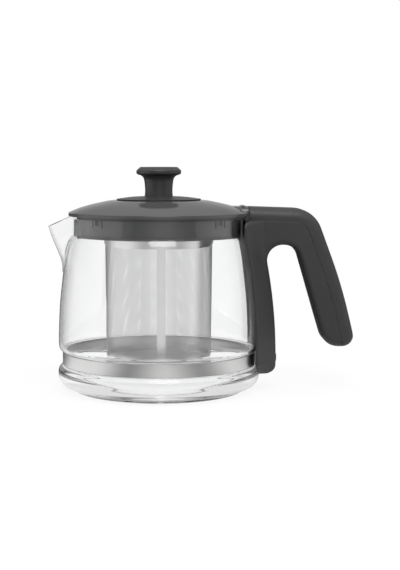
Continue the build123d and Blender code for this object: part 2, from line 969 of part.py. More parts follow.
# ------------------------------------------------------------------ knob


def make_knob_plate():
    """Thin crowned disc between the dome and the knob."""
    with BuildPart() as knob_plate:
        with BuildSketch(Plane.XZ):
            with BuildLine():
                Polyline(
                    (knob_neck_radius, plate_top),
                    (0, plate_top),
                    (0, plateau_z),
                    (plate_radius, plateau_z),
                    (plate_radius, plate_top - plate_crown),
                )
                Spline(
                    (plate_radius, plate_top - plate_crown),
                    (knob_neck_radius, plate_top),
                    tangents=[plate_edge_slope, plate_middle_slope],
                )
            make_face()
        revolve(axis=Axis.Z)
        with Locations((0, 0, plate_top)):
            Hole(screw_radius + hole_clearance)
    return knob_plate.part


def make_knob():
    """Mushroom knob with a bore for its threaded insert."""
    top = plate_top + knob_height
    foot = knob_neck_radius + plate_crown
    spread = knob_radius - knob_neck_radius
    edge = (knob_radius, plate_top + knob_edge_share * knob_height)
    with BuildPart() as knob:
        with BuildSketch(Plane.XZ):
            with BuildLine():
                Line((0, plate_top), (foot, plate_top))
                Spline(
                    (foot, plate_top),
                    *[
                        (knob_neck_radius + out * spread, plate_top + up * knob_height)
                        for out, up in knob_curve
                    ],
                    edge,
                    tangents=[knob_foot_slope, knob_flare_slope],
                )
                Spline(edge, (knob_radius - knob_top_inset, top), tangents=[side_slope, knob_top_slope])
                Polyline((knob_radius - knob_top_inset, top), (0, top), (0, plate_top))
            make_face()
        revolve(axis=Axis.Z)
        with BuildSketch(Plane.XY.offset(plate_top)):
            Circle(insert_radius)
        extrude(amount=insert_depth + insert_length, mode=Mode.SUBTRACT)
        with BuildSketch(Plane.XY.offset(plate_top)):
            Circle(screw_radius + hole_clearance)
        extrude(amount=insert_depth + insert_length + insert_relief, mode=Mode.SUBTRACT)
    return knob.part


def make_knob_insert():
    """Knurled brass insert in the knob, modelled with its two collars."""
    with BuildPart() as knob_insert:
        with BuildSketch(Plane.XY.offset(plate_top + insert_depth)):
            Circle(insert_radius)
            Circle(screw_radius, mode=Mode.SUBTRACT)
        extrude(amount=insert_length)
        with BuildSketch(Plane.XY.offset(plate_top + insert_depth + insert_groove)):
            Circle(insert_radius)
            Circle(insert_radius - hole_clearance, mode=Mode.SUBTRACT)
        extrude(amount=insert_groove, mode=Mode.SUBTRACT)
    return knob_insert.part


def knob_screw_seat():
    """Underside of the washer, where the knob screw's head bears."""
    return plateau_z - lid_wall - knob_washer_thickness


def make_knob_screw():
    """Screw from under the dome, through the plate, into the insert."""
    seat = knob_screw_seat()
    tip = plate_top + insert_depth + insert_length - insert_screw_short
    with BuildPart() as knob_screw:
        with BuildSketch(Plane.XY.offset(seat)):
            Circle(screw_radius)
        extrude(amount=tip - seat)
        with BuildSketch(Plane.XY.offset(seat)):
            Circle(knob_head_radius)
        extrude(amount=-knob_head_height)
        with BuildSketch(Plane.XY.offset(seat - knob_head_height)):
            RegularPolygon(screw_radius, socket_sides)
        extrude(amount=knob_head_height / 2, mode=Mode.SUBTRACT)
    return knob_screw.part


def make_knob_washer():
    """Soft washer that seals the hole in the dome."""
    with BuildPart() as knob_washer:
        with BuildSketch(Plane.XY.offset(knob_screw_seat())):
            Circle(knob_washer_radius)
            Circle(screw_radius + hole_clearance, mode=Mode.SUBTRACT)
        extrude(amount=knob_washer_thickness)
    return knob_washer.part


# ------------------------------------------------------------------ infuser basket


def make_basket_rim():
    """Plain steel band at the basket's top, with three lugs for the collar's bayonet."""
    inner = basket_radius - basket_rim_wall
    with BuildPart() as basket_rim:
        with BuildSketch(Plane.XZ):
            with Locations((inner, basket_rim_bottom)):
                Rectangle(basket_rim_wall, basket_rim_height, align=(Align.MIN, Align.MIN))
        revolve(axis=Axis.Z)
        for start in bayonet_angles():
            with BuildSketch(plane_at(start - lug_angle / 2)):
                with Locations((basket_radius - basket_rim_wall / 2, ledge_z + lug_slack)):
                    Rectangle(lug_proud, lug_height, align=(Align.MIN, Align.MIN))
            revolve(axis=Axis.Z, revolution_arc=lug_angle)
    return basket_rim.part


def make_basket_wall():
    """Perforated sheet rolled into a slight cone, plain along its seam and at both ends."""
    height = basket_wall_top - basket_bottom
    rows = height - basket_overlap - base_flange
    pitch = rows / hole_rows
    with BuildPart() as basket_wall:
        with BuildSketch(Plane.XZ):
            with BuildLine():
                Polyline(
                    (basket_bottom_radius, basket_bottom),
                    (basket_top_radius, basket_wall_top),
                    (basket_top_radius - basket_wall_thickness, basket_wall_top),
                    (basket_bottom_radius - basket_wall_thickness, basket_bottom),
                    close=True,
                )
            make_face()
        revolve(axis=Axis.Z)
        step = 360 / hole_columns
        places = []
        for row in range(hole_rows):
            z = basket_bottom + base_flange + (row + 0.5) * pitch
            for column in range(seam_columns, hole_columns - seam_columns + 1):
                turn = radians(-90 + (column + row % 2 / 2) * step)
                spot = (basket_bottom_radius * cos(turn), basket_bottom_radius * sin(turn), z)
                places.append(Location(spot, (0, 90, degrees(turn))))
        with Locations(*places):
            Cylinder(hole_radius, 4 * hole_radius, mode=Mode.SUBTRACT)
    return basket_wall.part


def make_basket_base():
    """Perforated dish that closes the basket, its flange inside the wall."""
    radius = basket_bottom_radius - basket_wall_thickness - basket_fit
    rings = int((radius - basket_wall_thickness - 2 * hole_radius) / base_ring_pitch)
    with BuildPart() as basket_base:
        with BuildSketch(Plane.XY.offset(basket_bottom)):
            Circle(radius)
        extrude(amount=base_flange)
        with BuildSketch(Plane.XY.offset(basket_bottom + basket_wall_thickness)):
            Circle(radius - basket_wall_thickness)
        extrude(amount=base_flange, mode=Mode.SUBTRACT)
        for ring in range(1, rings + 1):
            with PolarLocations(ring * base_ring_pitch, base_ring_holes * ring):
                Cylinder(hole_radius, 2 * basket_wall_top, mode=Mode.SUBTRACT)
    return basket_base.part


# ------------------------------------------------------------------ the pieces, written one by one


def main():
    blank = make_handle_blank()
    pieces = {
        "glass_jug": make_glass_jug(),
        "clamp_band": make_clamp_band(),
        "band_bracket": make_band_bracket(),
        "clamp_nut": make_clamp_nut(),
        "clamp_washer": make_clamp_washer(),
        "clamp_screw": make_clamp_screw(),
        "handle_pad": make_handle_pad(),
        "handle_body": make_handle_body(blank),
        "handle_cover": make_handle_cover(blank),
        "cover_screws": make_cover_screws(),
        "lid_dome": make_lid_dome(),
        "lid_collar": make_lid_collar(),
        "lid_liner": make_lid_liner(),
        "knob_plate": make_knob_plate(),
        "knob": make_knob(),
        "knob_insert": make_knob_insert(),
        "knob_screw": make_knob_screw(),
        "knob_washer": make_knob_washer(),
        "basket_rim": make_basket_rim(),
        "basket_wall": make_basket_wall(),
        "basket_base": make_basket_base(),
    }
    os.makedirs("parts", exist_ok=True)
    for name, piece in pieces.items():
        piece.label = name
        export_step(piece, f"parts/{name}.step")


if __name__ == "__main__":
    main()
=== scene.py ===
from math import acos, asin, atan2, ceil, cos, hypot, pi, radians, sin, sqrt, tan

import bmesh
import bpy
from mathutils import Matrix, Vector


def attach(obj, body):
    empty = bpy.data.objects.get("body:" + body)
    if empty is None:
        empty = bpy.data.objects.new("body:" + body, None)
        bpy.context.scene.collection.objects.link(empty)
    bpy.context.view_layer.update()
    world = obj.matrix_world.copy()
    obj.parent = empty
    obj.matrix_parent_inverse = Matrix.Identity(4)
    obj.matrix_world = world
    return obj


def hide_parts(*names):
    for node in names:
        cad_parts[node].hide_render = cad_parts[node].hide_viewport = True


bl_info = {
    "name": "Glass tea jug",
    "version": (1, 0, 0),
    "blender": (4, 5, 0),
    "location": "View3D > Sidebar > Tea jug",
    "description": "Dresses the CAD parts of a glass tea jug with its lid, handle and infuser basket",
    "category": "Object",
}

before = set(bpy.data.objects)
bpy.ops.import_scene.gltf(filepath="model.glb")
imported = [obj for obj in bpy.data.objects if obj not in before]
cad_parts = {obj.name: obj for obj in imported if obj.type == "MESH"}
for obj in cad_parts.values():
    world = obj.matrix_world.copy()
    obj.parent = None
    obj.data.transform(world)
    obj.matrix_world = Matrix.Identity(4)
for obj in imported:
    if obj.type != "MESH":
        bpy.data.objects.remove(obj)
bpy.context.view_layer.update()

MM = 0.001

# How much wider the spout's root is than its tip, and how steeply its lip falls
SPOUT_SPREAD = 14 * MM
LIP_SLOPE = 0.43
# Top of the handle's shoe, rounding of the foot of its hook and how far up that rounding goes
SHOE_TOP = 118.0 * MM
TOE_ROUND = 5.0 * MM
TOE_HEIGHT = 14.0 * MM
# Room between the glass and the shoe, which the soft pad fills
SHOE_CLEARANCE = 0.62 * MM
# Everything beyond this place belongs to the hook's grip
HOOK_X = 100.0 * MM
# Distance between the points of the handle's outlines, and how many points its seam has
OUTLINE_GAP = 2.0 * MM
SEAM_POINTS = 70

# ---- shapes, written in millimetres


def scaled(points):
    """The same places in metres."""
    return [tuple(value * MM for value in point) for point in points]


# Underside of the jug, from its middle to the standing ring: radius, height and rounding
UNDERSIDE = [
    (0, 2.2, 0), (24.6, 2.2, 3.0), (27.6, 1.4, 3.0), (53.0, 1.4, 1.4), (54.8, 0, 1.0), (59.0, 0, 0),
]
# Outside of the jug under the band: radius and height, from the foot to the groove
FOOT_TO_GROOVE = [
    (59.6, 0.4), (59.9, 1.7), (60.6, 2.3), (63.4, 2.7), (66.6, 3.8), (68.9, 6.1), (70.1, 9.2),
    (70.36, 11.6), (70.3, 13.6), (69.9, 15.2), (69.2, 16.1), (67.6, 17.1), (66.75, 18.0), (66.5, 19.4),
]
# From the groove to the belly
GROOVE_TO_BELLY = [(66.5, 26.5), (66.9, 27.5), (68.4, 28.3), (69.5, 29.5), (70.03, 31.4)]
# The side of the jug, from the belly over the shoulder to the rim
JUG_SIDE = scaled([
    (70.03, 31.4), (70.0, 38.0), (69.6, 50.2), (68.8, 62.8), (67.7, 73.2), (67.0, 79.5),
    (66.2, 86.5), (65.4, 92.5), (64.4, 98.0), (63.5, 101.8), (62.6, 104.6), (61.0, 107.2),
    (60.35, 109.2), (60.3, 112.0), (60.3, 121.0),
])
# The part of that side which stands beside the handle, under the neck
SIDE_BY_HANDLE = JUG_SIDE[:11]
# Inside of the jug, from the floor to the belly
FLOOR_TO_BELLY = [
    (56.5, 5.5), (60.4, 5.7), (62.5, 6.3), (64.1, 7.7), (66.0, 10.4), (67.3, 12.9), (67.6, 14.8),
    (66.9, 17.6), (65.2, 19.8), (64.2, 21.4), (64.1, 23.0), (64.2, 25.0), (65.2, 27.2), (66.9, 29.0),
    (68.0, 31.0), (68.33, 33.0),
]
# How far the spout reaches at each height
SPOUT_KEEL = scaled([
    (65.9, 84.0), (66.9, 88.0), (71.0, 98.0), (74.3, 106.0), (77.05, 114.0), (78.95, 121.0),
])

# Top of the dome: radius and height, from the plateau to the rim
DOME_TOP = [
    (29.4, 132.25), (35.0, 131.7), (41.0, 130.5), (48.0, 128.9), (54.8, 126.9), (59.5, 125.1),
]
# The knob: radius and height, from its foot to the middle of its top
KNOB_SIDE = [
    (10.1, 133.6), (9.75, 135.5), (9.55, 138.5), (9.7, 142.0), (10.1, 145.5), (10.6, 147.2),
    (11.5, 148.5), (12.8, 149.3), (14.3, 149.7), (15.3, 150.4), (15.6, 151.3),
]

# Side view of the hook: place and rounding of each corner, from the top round to the leg
HOOK_OUTER = scaled([(107.45, 126.3, 21.0), (128.85, 68.9, 340.0), (137.05, 30.7, 7.5)])
HOOK_INNER = scaled([
    (115.45, 30.7, 12.0), (94.55, 101.5, 10.7), (72.85, 101.5, 10.7), (81.4, 54.3, 350.0),
    (81.4, 12.1, 6.0),
])
HOOK_LOW = HOOK_OUTER[-1][1]
LEG_LOW = HOOK_INNER[-1][1]


# ---- curves and meshes


def between(start, start_slope, end, end_slope, gap, t):
    """The value at a share t of the gap between two values with their slopes."""
    return (
        (2 * t**3 - 3 * t**2 + 1) * start
        + (t**3 - 2 * t**2 + t) * gap * start_slope
        + (3 * t**2 - 2 * t**3) * end
        + (t**3 - t**2) * gap * end_slope
    )


def smooth_curve(points, steps=4):
    """A curve through the points, with that many pieces between each two."""
    gaps = [hypot(b[0] - a[0], b[1] - a[1]) for a, b in zip(points, points[1:])]
    last = len(points) - 1
    slopes = []
    for i in range(last + 1):
        before = max(i - 1, 0)
        after = min(i + 1, last)
        span = sum(gaps[before:after])
        slopes.append([(points[after][k] - points[before][k]) / span for k in (0, 1)])
    curve = [points[0]]
    for i, gap in enumerate(gaps):
        ends = [(points[i][k], slopes[i][k], points[i + 1][k], slopes[i + 1][k]) for k in (0, 1)]
        for step in range(1, steps + 1):
            curve.append(tuple(between(*end, gap, step / steps) for end in ends))
    return curve


def along(table, height):
    """The first value of a table of (value, height) pairs, smoothly read at the height."""
    if height <= table[0][1]:
        return table[0][0]
    if height >= table[-1][1]:
        return table[-1][0]
    i = 0
    while table[i + 1][1] < height:
        i += 1

    def slope(k):
        low = table[max(k - 1, 0)]
        high = table[min(k + 1, len(table) - 1)]
        return (high[0] - low[0]) / (high[1] - low[1])

    (start, low), (end, high) = table[i : i + 2]
    return between(start, slope(i), end, slope(i + 1), high - low, (height - low) / (high - low))


def rounded(corners, turn=radians(8), longest=4 * MM):
    """A line through corners of (x, z, rounding); its first and last corners stay sharp."""
    line = [corners[0][:2]]
    for before, here, after in zip(corners, corners[1:], corners[2:]):
        corner = Vector(here[:2])
        back = (Vector(before[:2]) - corner).normalized()
        on = (Vector(after[:2]) - corner).normalized()
        half = acos(max(-1.0, min(1.0, back.dot(on)))) / 2
        radius = here[2]
        if radius <= 0 or half > pi / 2 - 1e-4:
            line.append(tuple(corner))
            continue
        centre = corner + (back + on).normalized() * radius / sin(half)
        start = corner + back * radius / tan(half) - centre
        sweep = pi - 2 * half
        side = 1 if back.x * on.y - back.y * on.x < 0 else -1
        pieces = max(2, ceil(sweep / turn), ceil(sweep * radius / longest))
        for step in range(pieces + 1):
            angle = side * sweep * step / pieces
            x = centre.x + start.x * cos(angle) - start.y * sin(angle)
            line.append((x, centre.y + start.x * sin(angle) + start.y * cos(angle)))
    line.append(corners[-1][:2])
    return line


def spread(line, gap):
    """The same line with its long runs divided into steps of about the gap."""
    dense = [line[0]]
    for a, b in zip(line, line[1:]):
        count = max(1, round(hypot(b[0] - a[0], b[1] - a[1]) / gap))
        for step in range(1, count + 1):
            dense.append(tuple(a[k] + (b[k] - a[k]) * step / count for k in (0, 1)))
    return dense


def resampled(line, count):
    """The line as that many points at even distances."""
    lengths = [0.0]
    for a, b in zip(line, line[1:]):
        lengths.append(lengths[-1] + hypot(b[0] - a[0], b[1] - a[1]))
    even = []
    i = 0
    for step in range(count):
        place = lengths[-1] * step / (count - 1)
        while i < len(lengths) - 2 and lengths[i + 1] < place:
            i += 1
        share = (place - lengths[i]) / (lengths[i + 1] - lengths[i])
        even.append(tuple(line[i][k] + (line[i + 1][k] - line[i][k]) * share for k in (0, 1)))
    return even


def leftwards(line):
    """Unit vectors that point to the left of the line at each of its points."""
    sides = []
    for before, after in zip(line[:1] + line[:-1], line[1:] + line[-1:]):
        dx = after[0] - before[0]
        dz = after[1] - before[1]
        size = hypot(dx, dz)
        sides.append((-dz / size, dx / size))
    return sides


def evenly(low, high, count):
    """Values at that many even steps, both ends included."""
    return [low + (high - low) * step / count for step in range(count + 1)]


def arc(radius, middle, reach, steps):
    """Points (x, y) of an arc round the jug's axis, from one side of its middle to the other."""
    turns = [middle + reach * step / steps for step in range(-steps, steps + 1)]
    return [(radius * cos(turn), radius * sin(turn)) for turn in turns]


def add_piece(name, skin, body, slot, *nodes, crease=35.0, finish=None):
    """A smooth-shaded piece from (vertices, faces), crisp where its surface turns by more than the crease.
    It hangs on its CAD body, has a finish slot and may stand for CAD nodes."""
    vertices, faces = skin
    mesh = bpy.data.meshes.new(name)
    mesh.from_pydata(vertices, [], faces)
    shape = bmesh.new()
    shape.from_mesh(mesh)
    bmesh.ops.recalc_face_normals(shape, faces=shape.faces)
    shape.to_mesh(mesh)
    shape.free()
    mesh.polygons.foreach_set("use_smooth", [True] * len(mesh.polygons))
    mesh.set_sharp_from_angle(angle=radians(crease))
    mesh.materials.append(finish_for(finish or slot))
    piece = bpy.data.objects.new(name, mesh)
    bpy.context.collection.objects.link(piece)
    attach(piece, body)
    if nodes:
        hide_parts(*nodes)
    return piece


def lathe(profile, columns=192, closed=True):
    """Skin of a profile of (radius, height) turned round the jug's axis, where its points become one."""
    vertices = []
    rows = []
    for radius, height in profile:
        if radius < 1e-6:
            rows.append([len(vertices)] * columns)
            vertices.append((0.0, 0.0, height))
            continue
        rows.append(list(range(len(vertices), len(vertices) + columns)))
        for column in range(columns):
            angle = 2 * pi * column / columns
            vertices.append((radius * cos(angle), radius * sin(angle), height))
    pairs = list(zip(rows, rows[1:]))
    if closed:
        pairs.append((rows[-1], rows[0]))
    faces = []
    for low, high in pairs:
        if low[0] == low[1] and high[0] == high[1]:
            continue
        for i in range(columns):
            j = (i + 1) % columns
            faces.append(tuple(dict.fromkeys((low[i], low[j], high[j], high[i]))))
    return vertices, faces


def stack(loops):
    """Skin through closed loops of as many points each, with a flat face at each end."""
    count = len(loops[0])
    vertices = [point for loop in loops for point in loop]
    faces = [tuple(range(count)), tuple(range(len(vertices) - count, len(vertices)))]
    for level in range(len(loops) - 1):
        low = level * count
        high = low + count
        for i in range(count):
            j = (i + 1) % count
            faces.append((low + i, low + j, high + j, high + i))
    return vertices, faces


def flatten_sides(piece):
    """Keep large flat faces flat beside their rounded edges."""
    even = piece.modifiers.new("even_shading", "WEIGHTED_NORMAL")
    even.keep_sharp = True
    even.weight = 80


# ---- shading


# A count of bounces over this is three or more
THREE_OR_MORE = 2.5


def maths(operation, swapped=False):
    """A method that joins a reading and another value by a Math node."""
    if swapped:
        return lambda self, other: self.combine(operation, other, self)
    return lambda self, other: self.combine(operation, self, other)


class Reading:
    """A value that varies over a surface; arithmetic on it adds Math nodes."""

    def __init__(self, tree, socket):
        self.tree = tree
        self.socket = socket

    def combine(self, operation, first, second):
        return self.tree.read(self.tree.add("ShaderNodeMath", {0: first, 1: second}, operation=operation))

    __add__ = maths("ADD")
    __radd__ = maths("ADD", True)
    __sub__ = maths("SUBTRACT")
    __rsub__ = maths("SUBTRACT", True)
    __mul__ = maths("MULTIPLY")
    __rmul__ = maths("MULTIPLY", True)
    __truediv__ = maths("DIVIDE")
    __rtruediv__ = maths("DIVIDE", True)
    __pow__ = maths("POWER")
    __rpow__ = maths("POWER", True)
    most = maths("MAXIMUM")
    least = maths("MINIMUM")
    over = maths("GREATER_THAN")

    def held(self):
        """The value kept between 0 and 1."""
        return self.most(0.0).least(1.0)


class ShadeTree:
    """The node tree of a material or of the world."""

    def __init__(self, owner):
        owner.use_nodes = True
        self.owner = owner
        self.tree = owner.node_tree
        self.tree.nodes.clear()

    def add(self, kind, sockets=None, **settings):
        """A node of that type: its settings first, then the values or links of its sockets."""
        made = self.tree.nodes.new(kind)
        for setting, value in settings.items():
            if setting == "stops":
                self.set_stops(made.color_ramp.elements, value)
            else:
                setattr(made, setting, value)
        for key, value in (sockets or {}).items():
            entry = made.inputs[key]
            if isinstance(value, Reading):
                value = value.socket
            if isinstance(value, bpy.types.NodeSocket):
                self.tree.links.new(value, entry)
            elif entry.type == "RGBA":
                entry.default_value = (*value[:3], 1.0)
            else:
                entry.default_value = value
        return made

    def set_stops(self, elements, stops):
        """Give a ramp its (place, level) stops."""
        while len(elements) < len(stops):
            elements.new(1.0)
        for element, (place, level) in zip(elements, stops):
            element.position = place
            element.color = (level, level, level, 1.0)

    def read(self, node, output=0):
        return Reading(self, node.outputs[output])

    def ramp(self, factor, stops):
        """The level that (place, level) stops give for the factor."""
        return self.read(self.add("ShaderNodeValToRGB", {0: factor}, stops=stops))

    def mix(self, factor, first, second):
        """A mix of two colours."""
        return self.add("ShaderNodeMix", {0: factor, 6: first, 7: second}, data_type="RGBA").outputs[2]

    def places(self):
        """Coordinates that stay with the piece."""
        return self.add("ShaderNodeTexCoord").outputs["Object"]

    def parts(self, vector):
        """The three parts of a vector."""
        split = self.add("ShaderNodeSeparateXYZ", {0: vector})
        return [self.read(split, axis) for axis in range(3)]

    def noise(self, scale, detail=2.0, rough=0.5, where=None, stretch=None):
        """Noise between 0 and 1, in places stretched by three factors."""
        where = where or self.places()
        if stretch:
            stretched = self.add("ShaderNodeVectorMath", {0: where, 1: stretch}, operation="MULTIPLY")
            where = stretched.outputs[0]
        sockets = {"Vector": where, "Scale": scale, "Detail": detail, "Roughness": rough}
        return self.read(self.add("ShaderNodeTexNoise", sockets, noise_dimensions="3D"), "Fac")

    def around(self):
        """Places unrolled round the jug's axis: turn, height and radius. The joint is under the handle."""
        x, y, z = self.parts(self.places())
        turn = x.combine("ARCTAN2", 0 - y, 0 - x)
        radius = (x * x + y * y) ** 0.5
        return self.add("ShaderNodeCombineXYZ", {0: turn, 1: z, 2: radius}).outputs[0]

    def bump(self, height, strength, distance):
        """A normal bent by the height, as far as strength and distance say."""
        sockets = {"Height": height, "Strength": strength, "Distance": distance}
        return self.add("ShaderNodeBump", sockets).outputs[0]

    def tones(self, factor, colour, low, high):
        """The colour, made darker or lighter by a factor between low and high."""
        return self.mix(factor, lighter(colour, low), lighter(colour, high))

    def finish(self, shader, output="ShaderNodeOutputMaterial"):
        """Send a shader to the output, and give the material or world that is now ready."""
        self.add(output, {"Surface": shader.outputs[0]})
        return self.owner

    def surface(self, sockets):
        """Finish with a Principled surface."""
        return self.finish(self.add("ShaderNodeBsdfPrincipled", sockets))

    def blend(self, factor, first, second):
        """Finish with a mix of two shaders."""
        sockets = {0: factor, 1: first.outputs[0], 2: second.outputs[0]}
        return self.finish(self.add("ShaderNodeMixShader", sockets))


def new_finish(name):
    """The tree of a new material."""
    return ShadeTree(bpy.data.materials.new(name))


def lighter(colour, factor):
    """The colour made lighter or darker."""
    return tuple(min(1.0, part * factor) for part in colour[:3])


def clear_glass(name, looks):
    """Clear glass with the slight waviness of blown work, and painted shade where the wall is seen edge-on,
    for the eye.
    A ray that the wall has mirrored three times is let straight out, so that the thick foot stays clear."""
    tree = new_finish(name)
    wave = tree.noise(28.0, 1.0)
    facing = tree.read(tree.add("ShaderNodeLayerWeight", {"Blend": 0.5}), "Facing")
    rays = tree.add("ShaderNodeLightPath")
    # painted shade: the glass colour is drawn darker where its wall is seen edge-on, for camera rays only
    edge = ((facing - 0.5) * 2.0).most(0.0) ** 2.0 * tree.read(rays, "Is Camera Ray")
    clear_tint = tree.mix(wave, lighter(looks.glass, 0.992), looks.glass)
    tint_with_edge_shade = tree.mix(edge, clear_tint, lighter(looks.glass, 1.0 - looks.edge_shade))
    glass = tree.add("ShaderNodeBsdfPrincipled", {
        "Base Color": tint_with_edge_shade,
        "Roughness": wave * 0.004,
        "IOR": 1.473,
        "Transmission Weight": 1.0,
        "Normal": tree.bump(wave, 0.05, 0.0006),
    })
    clear = tree.add("ShaderNodeBsdfTransparent", {"Color": (0.92, 0.92, 0.92)})
    return tree.blend(tree.read(rays, "Glossy Depth").over(THREE_OR_MORE), glass, clear)


def turned_steel(name, colour, rough):
    """Stainless sheet brushed round the axis."""
    tree = new_finish(name)
    unrolled = tree.around()
    lines = tree.noise(1.0, 3.0, 0.6, unrolled, (14.0, 5200.0, 0.0))
    cloud = tree.noise(1.0, 2.0, 0.5, unrolled, (3.0, 60.0, 0.0))
    return tree.surface({
        "Base Color": tree.tones(lines, colour, 0.94, 1.04),
        "Metallic": 1.0,
        "Roughness": rough + (lines - 0.5) * 0.10 + (cloud - 0.5) * 0.06,
        "Normal": tree.bump(lines, 0.12, 0.0001),
    })


def plain_steel(name, colour, rough):
    """Rolled or machined metal with a faint mottled grain."""
    tree = new_finish(name)
    grain = tree.noise(900.0, 3.0, 0.6)
    return tree.surface({
        "Base Color": tree.tones(grain, colour, 0.9, 1.08),
        "Metallic": 1.0,
        "Roughness": rough + (grain - 0.5) * 0.12,
        "Normal": tree.bump(grain, 0.15, 0.00008),
    })


def satin_plastic(name, colour, rough, grain_size, grain_depth, shine=0.5):
    """Moulded plastic with a fine spark-eroded grain."""
    tree = new_finish(name)
    grain = tree.noise(1.0 / grain_size, 2.0, 0.55)
    cloud = tree.noise(22.0, 2.0)
    return tree.surface({
        "Base Color": tree.tones(cloud, colour, 0.94, 1.06),
        "Roughness": rough + (cloud - 0.5) * 0.06 + (grain - 0.5) * 0.08,
        "Specular IOR Level": shine,
        "Normal": tree.bump(grain, 0.35, grain_depth),
    })


def gloss_plastic(name, colour, rough):
    """Polished moulding with a barely wavy skin."""
    tree = new_finish(name)
    wave = tree.noise(55.0, 1.0)
    haze = tree.noise(400.0, 2.0)
    return tree.surface({
        "Base Color": tree.tones(haze, colour, 0.96, 1.04),
        "Roughness": rough + (haze - 0.5) * 0.03,
        "Normal": tree.bump(wave, 0.06, 0.0004),
    })


FINISHES = {}


def finish_for(slot):
    """The material of a finish slot, made when it is first wanted."""
    if slot not in FINISHES:
        looks = bpy.context.scene.tea_jug_looks
        make, *values = {
            "clear_glass": (clear_glass, looks),
            "band_steel": (turned_steel, looks.steel, 0.30),
            # painted light: the band's steel drawn 1.2 times lighter for the basket
            "basket_steel": (turned_steel, lighter(looks.steel, 1.2), 0.30),
            "handle_plastic": (satin_plastic, looks.handle, 0.46, 0.0006, 0.00006, 0.35),
            "lid_plastic": (gloss_plastic, looks.lid, 0.12),
            # painted shade: the lid's gloss plastic at 0.55 of its colour, for the plates in the collar
            # recesses
            "panel_plastic": (gloss_plastic, lighter(looks.lid, 0.55), 0.16),
            "knob_plastic": (satin_plastic, looks.knob, 0.36, 0.0006, 0.00005),
            "fastener_steel": (plain_steel, looks.steel, 0.35),
            "black_screw": (plain_steel, (0.03, 0.03, 0.032), 0.4),
            "soft_pad": (satin_plastic, (0.16, 0.16, 0.16), 0.7, 0.0009, 0.00005),
            "brass_insert": (plain_steel, (0.72, 0.52, 0.24), 0.3),
        }[slot]
        FINISHES[slot] = make(slot, *values)
    return FINISHES[slot]


def dress(slot, *names):
    """Give CAD nodes that stay in view the finish of their slot."""
    finish = finish_for(slot)
    for name in names:
        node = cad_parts[name]
        if not node.material_slots:
            node.data.materials.append(finish)
        for place in node.material_slots:
            place.material = finish


# ---- sizes and colours to change


def number(name, description, default, **limits):
    return bpy.props.FloatProperty(name=name, description=description, default=default, **limits)


def length(name, description, millimetres):
    return number(name, description, millimetres * MM, min=0.0, unit="LENGTH", precision=5)


def angle(name, description, degrees):
    return number(name, description, radians(degrees), subtype="ANGLE")


def colour(name, description, default):
    return bpy.props.FloatVectorProperty(
        name=name, description=description, default=default, size=3, min=0.0, max=1.0, subtype="COLOR"
    )


class TeaJugSizes(bpy.types.PropertyGroup):
    """Sizes of the modelled pieces, which keep inside the box of the CAD parts."""

    rim: length("Rim height", "Height of the glass rim", 120.6)
    wall: length("Glass wall", "Thickness of the glass", 1.7)
    lip_start: length("Lip start", "Where the pouring lip begins to slope down", 63.0)
    spout_tip: length("Spout tip", "Radius of the spout's tip", 5.2)
    spout_blend: length("Spout blend", "Reach of the hollow blend beside the spout", 4.0)
    spout_flank: angle("Spout flank", "Turn of the spout's flanks away from its middle", 54.0)
    handle_width: length("Handle width", "Width of the hook across", 26.0)
    shoe_width: length("Shoe width", "Width of the shoe where it hugs the glass", 50.0)
    handle_front: length("Handle front", "Where the handle ends beside the lid", 62.2)
    front_lean: length("Front lean", "How far the handle's front leans towards the lid", 0.6)
    handle_top: length("Handle top", "Height of the handle's top", 127.8)
    seam_depth: length("Seam depth", "How deep the outer moulding of the handle is", 9.0)
    grip_round: length("Grip rounding", "Rounding of the handle's outer edges", 7.0)
    palm_round: length("Inner rounding", "Rounding of the handle's inner edges", 4.0)
    hole_pitch: length("Hole pitch", "Distance between the basket's holes", 1.08)
    hole_share: number("Hole share", "Hole width as a share of the pitch", 0.86, min=0.1, max=0.95)


class TeaJugLooks(bpy.types.PropertyGroup):
    """Colours of the finishes."""

    glass: colour("Glass", "Tint of the clear glass", (0.985, 0.988, 0.988))
    # painted shade: how much darker the glass colour is drawn where its wall is seen edge-on
    edge_shade: number("Glass edge", "How much the glass darkens edge-on", 0.8, min=0.0, max=1.0)
    steel: colour("Steel", "Stainless steel of band and basket", (0.74, 0.74, 0.735))
    handle: colour("Handle", "Satin plastic of the handle", (0.038, 0.038, 0.039))
    lid: colour("Lid", "Gloss plastic of the lid", (0.062, 0.062, 0.063))
    knob: colour("Knob", "Satin plastic of the knob and its disc", (0.030, 0.030, 0.031))


class TeaJugStage(bpy.types.PropertyGroup):
    """Camera and floor."""

    distance: length("Camera distance", "From the camera to the point that it looks at", 881.3)
    aim_height: length("Aim height", "Height of the point that the camera looks at", 72.7)
    pitch: angle("Camera pitch", "How far the camera looks down", 5.82)
    lens: number("Lens", "Focal length on a 36 mm sensor", 79.5, min=10.0, unit="CAMERA")
    floor: colour("Floor", "Colour of the floor", (0.86, 0.86, 0.86))


# ---- the glass jug


def neck_and_spout(turn, height, sizes, inset):
    """Radius of the glass at a turn from the spout's middle: the body, or the spout where that is wider,
    with a hollow blend between them."""
    root = along(JUG_SIDE, height) - inset
    reach = along(SPOUT_KEEL, height) - inset
    low = SPOUT_KEEL[0][1]
    rise = max(0.0, min(1.0, (height - low) / (sizes.rim - low)))
    tip = sizes.spout_tip + SPOUT_SPREAD * (1 - rise) ** 1.5 - inset
    flank = sizes.spout_flank
    centre = reach - tip
    touch = atan2(tip * sin(flank), centre + tip * cos(flank))
    if abs(turn) < touch:
        beak = centre * cos(turn) + sqrt(max(0.0, tip**2 - (centre * sin(turn)) ** 2))
    else:
        beak = (centre * cos(flank) + tip) / cos(flank - min(abs(turn), flank))
    near = max(0.0, 1.0 - abs(beak - root) / sizes.spout_blend)
    return max(beak, root) + near**2 * sizes.spout_blend / 4


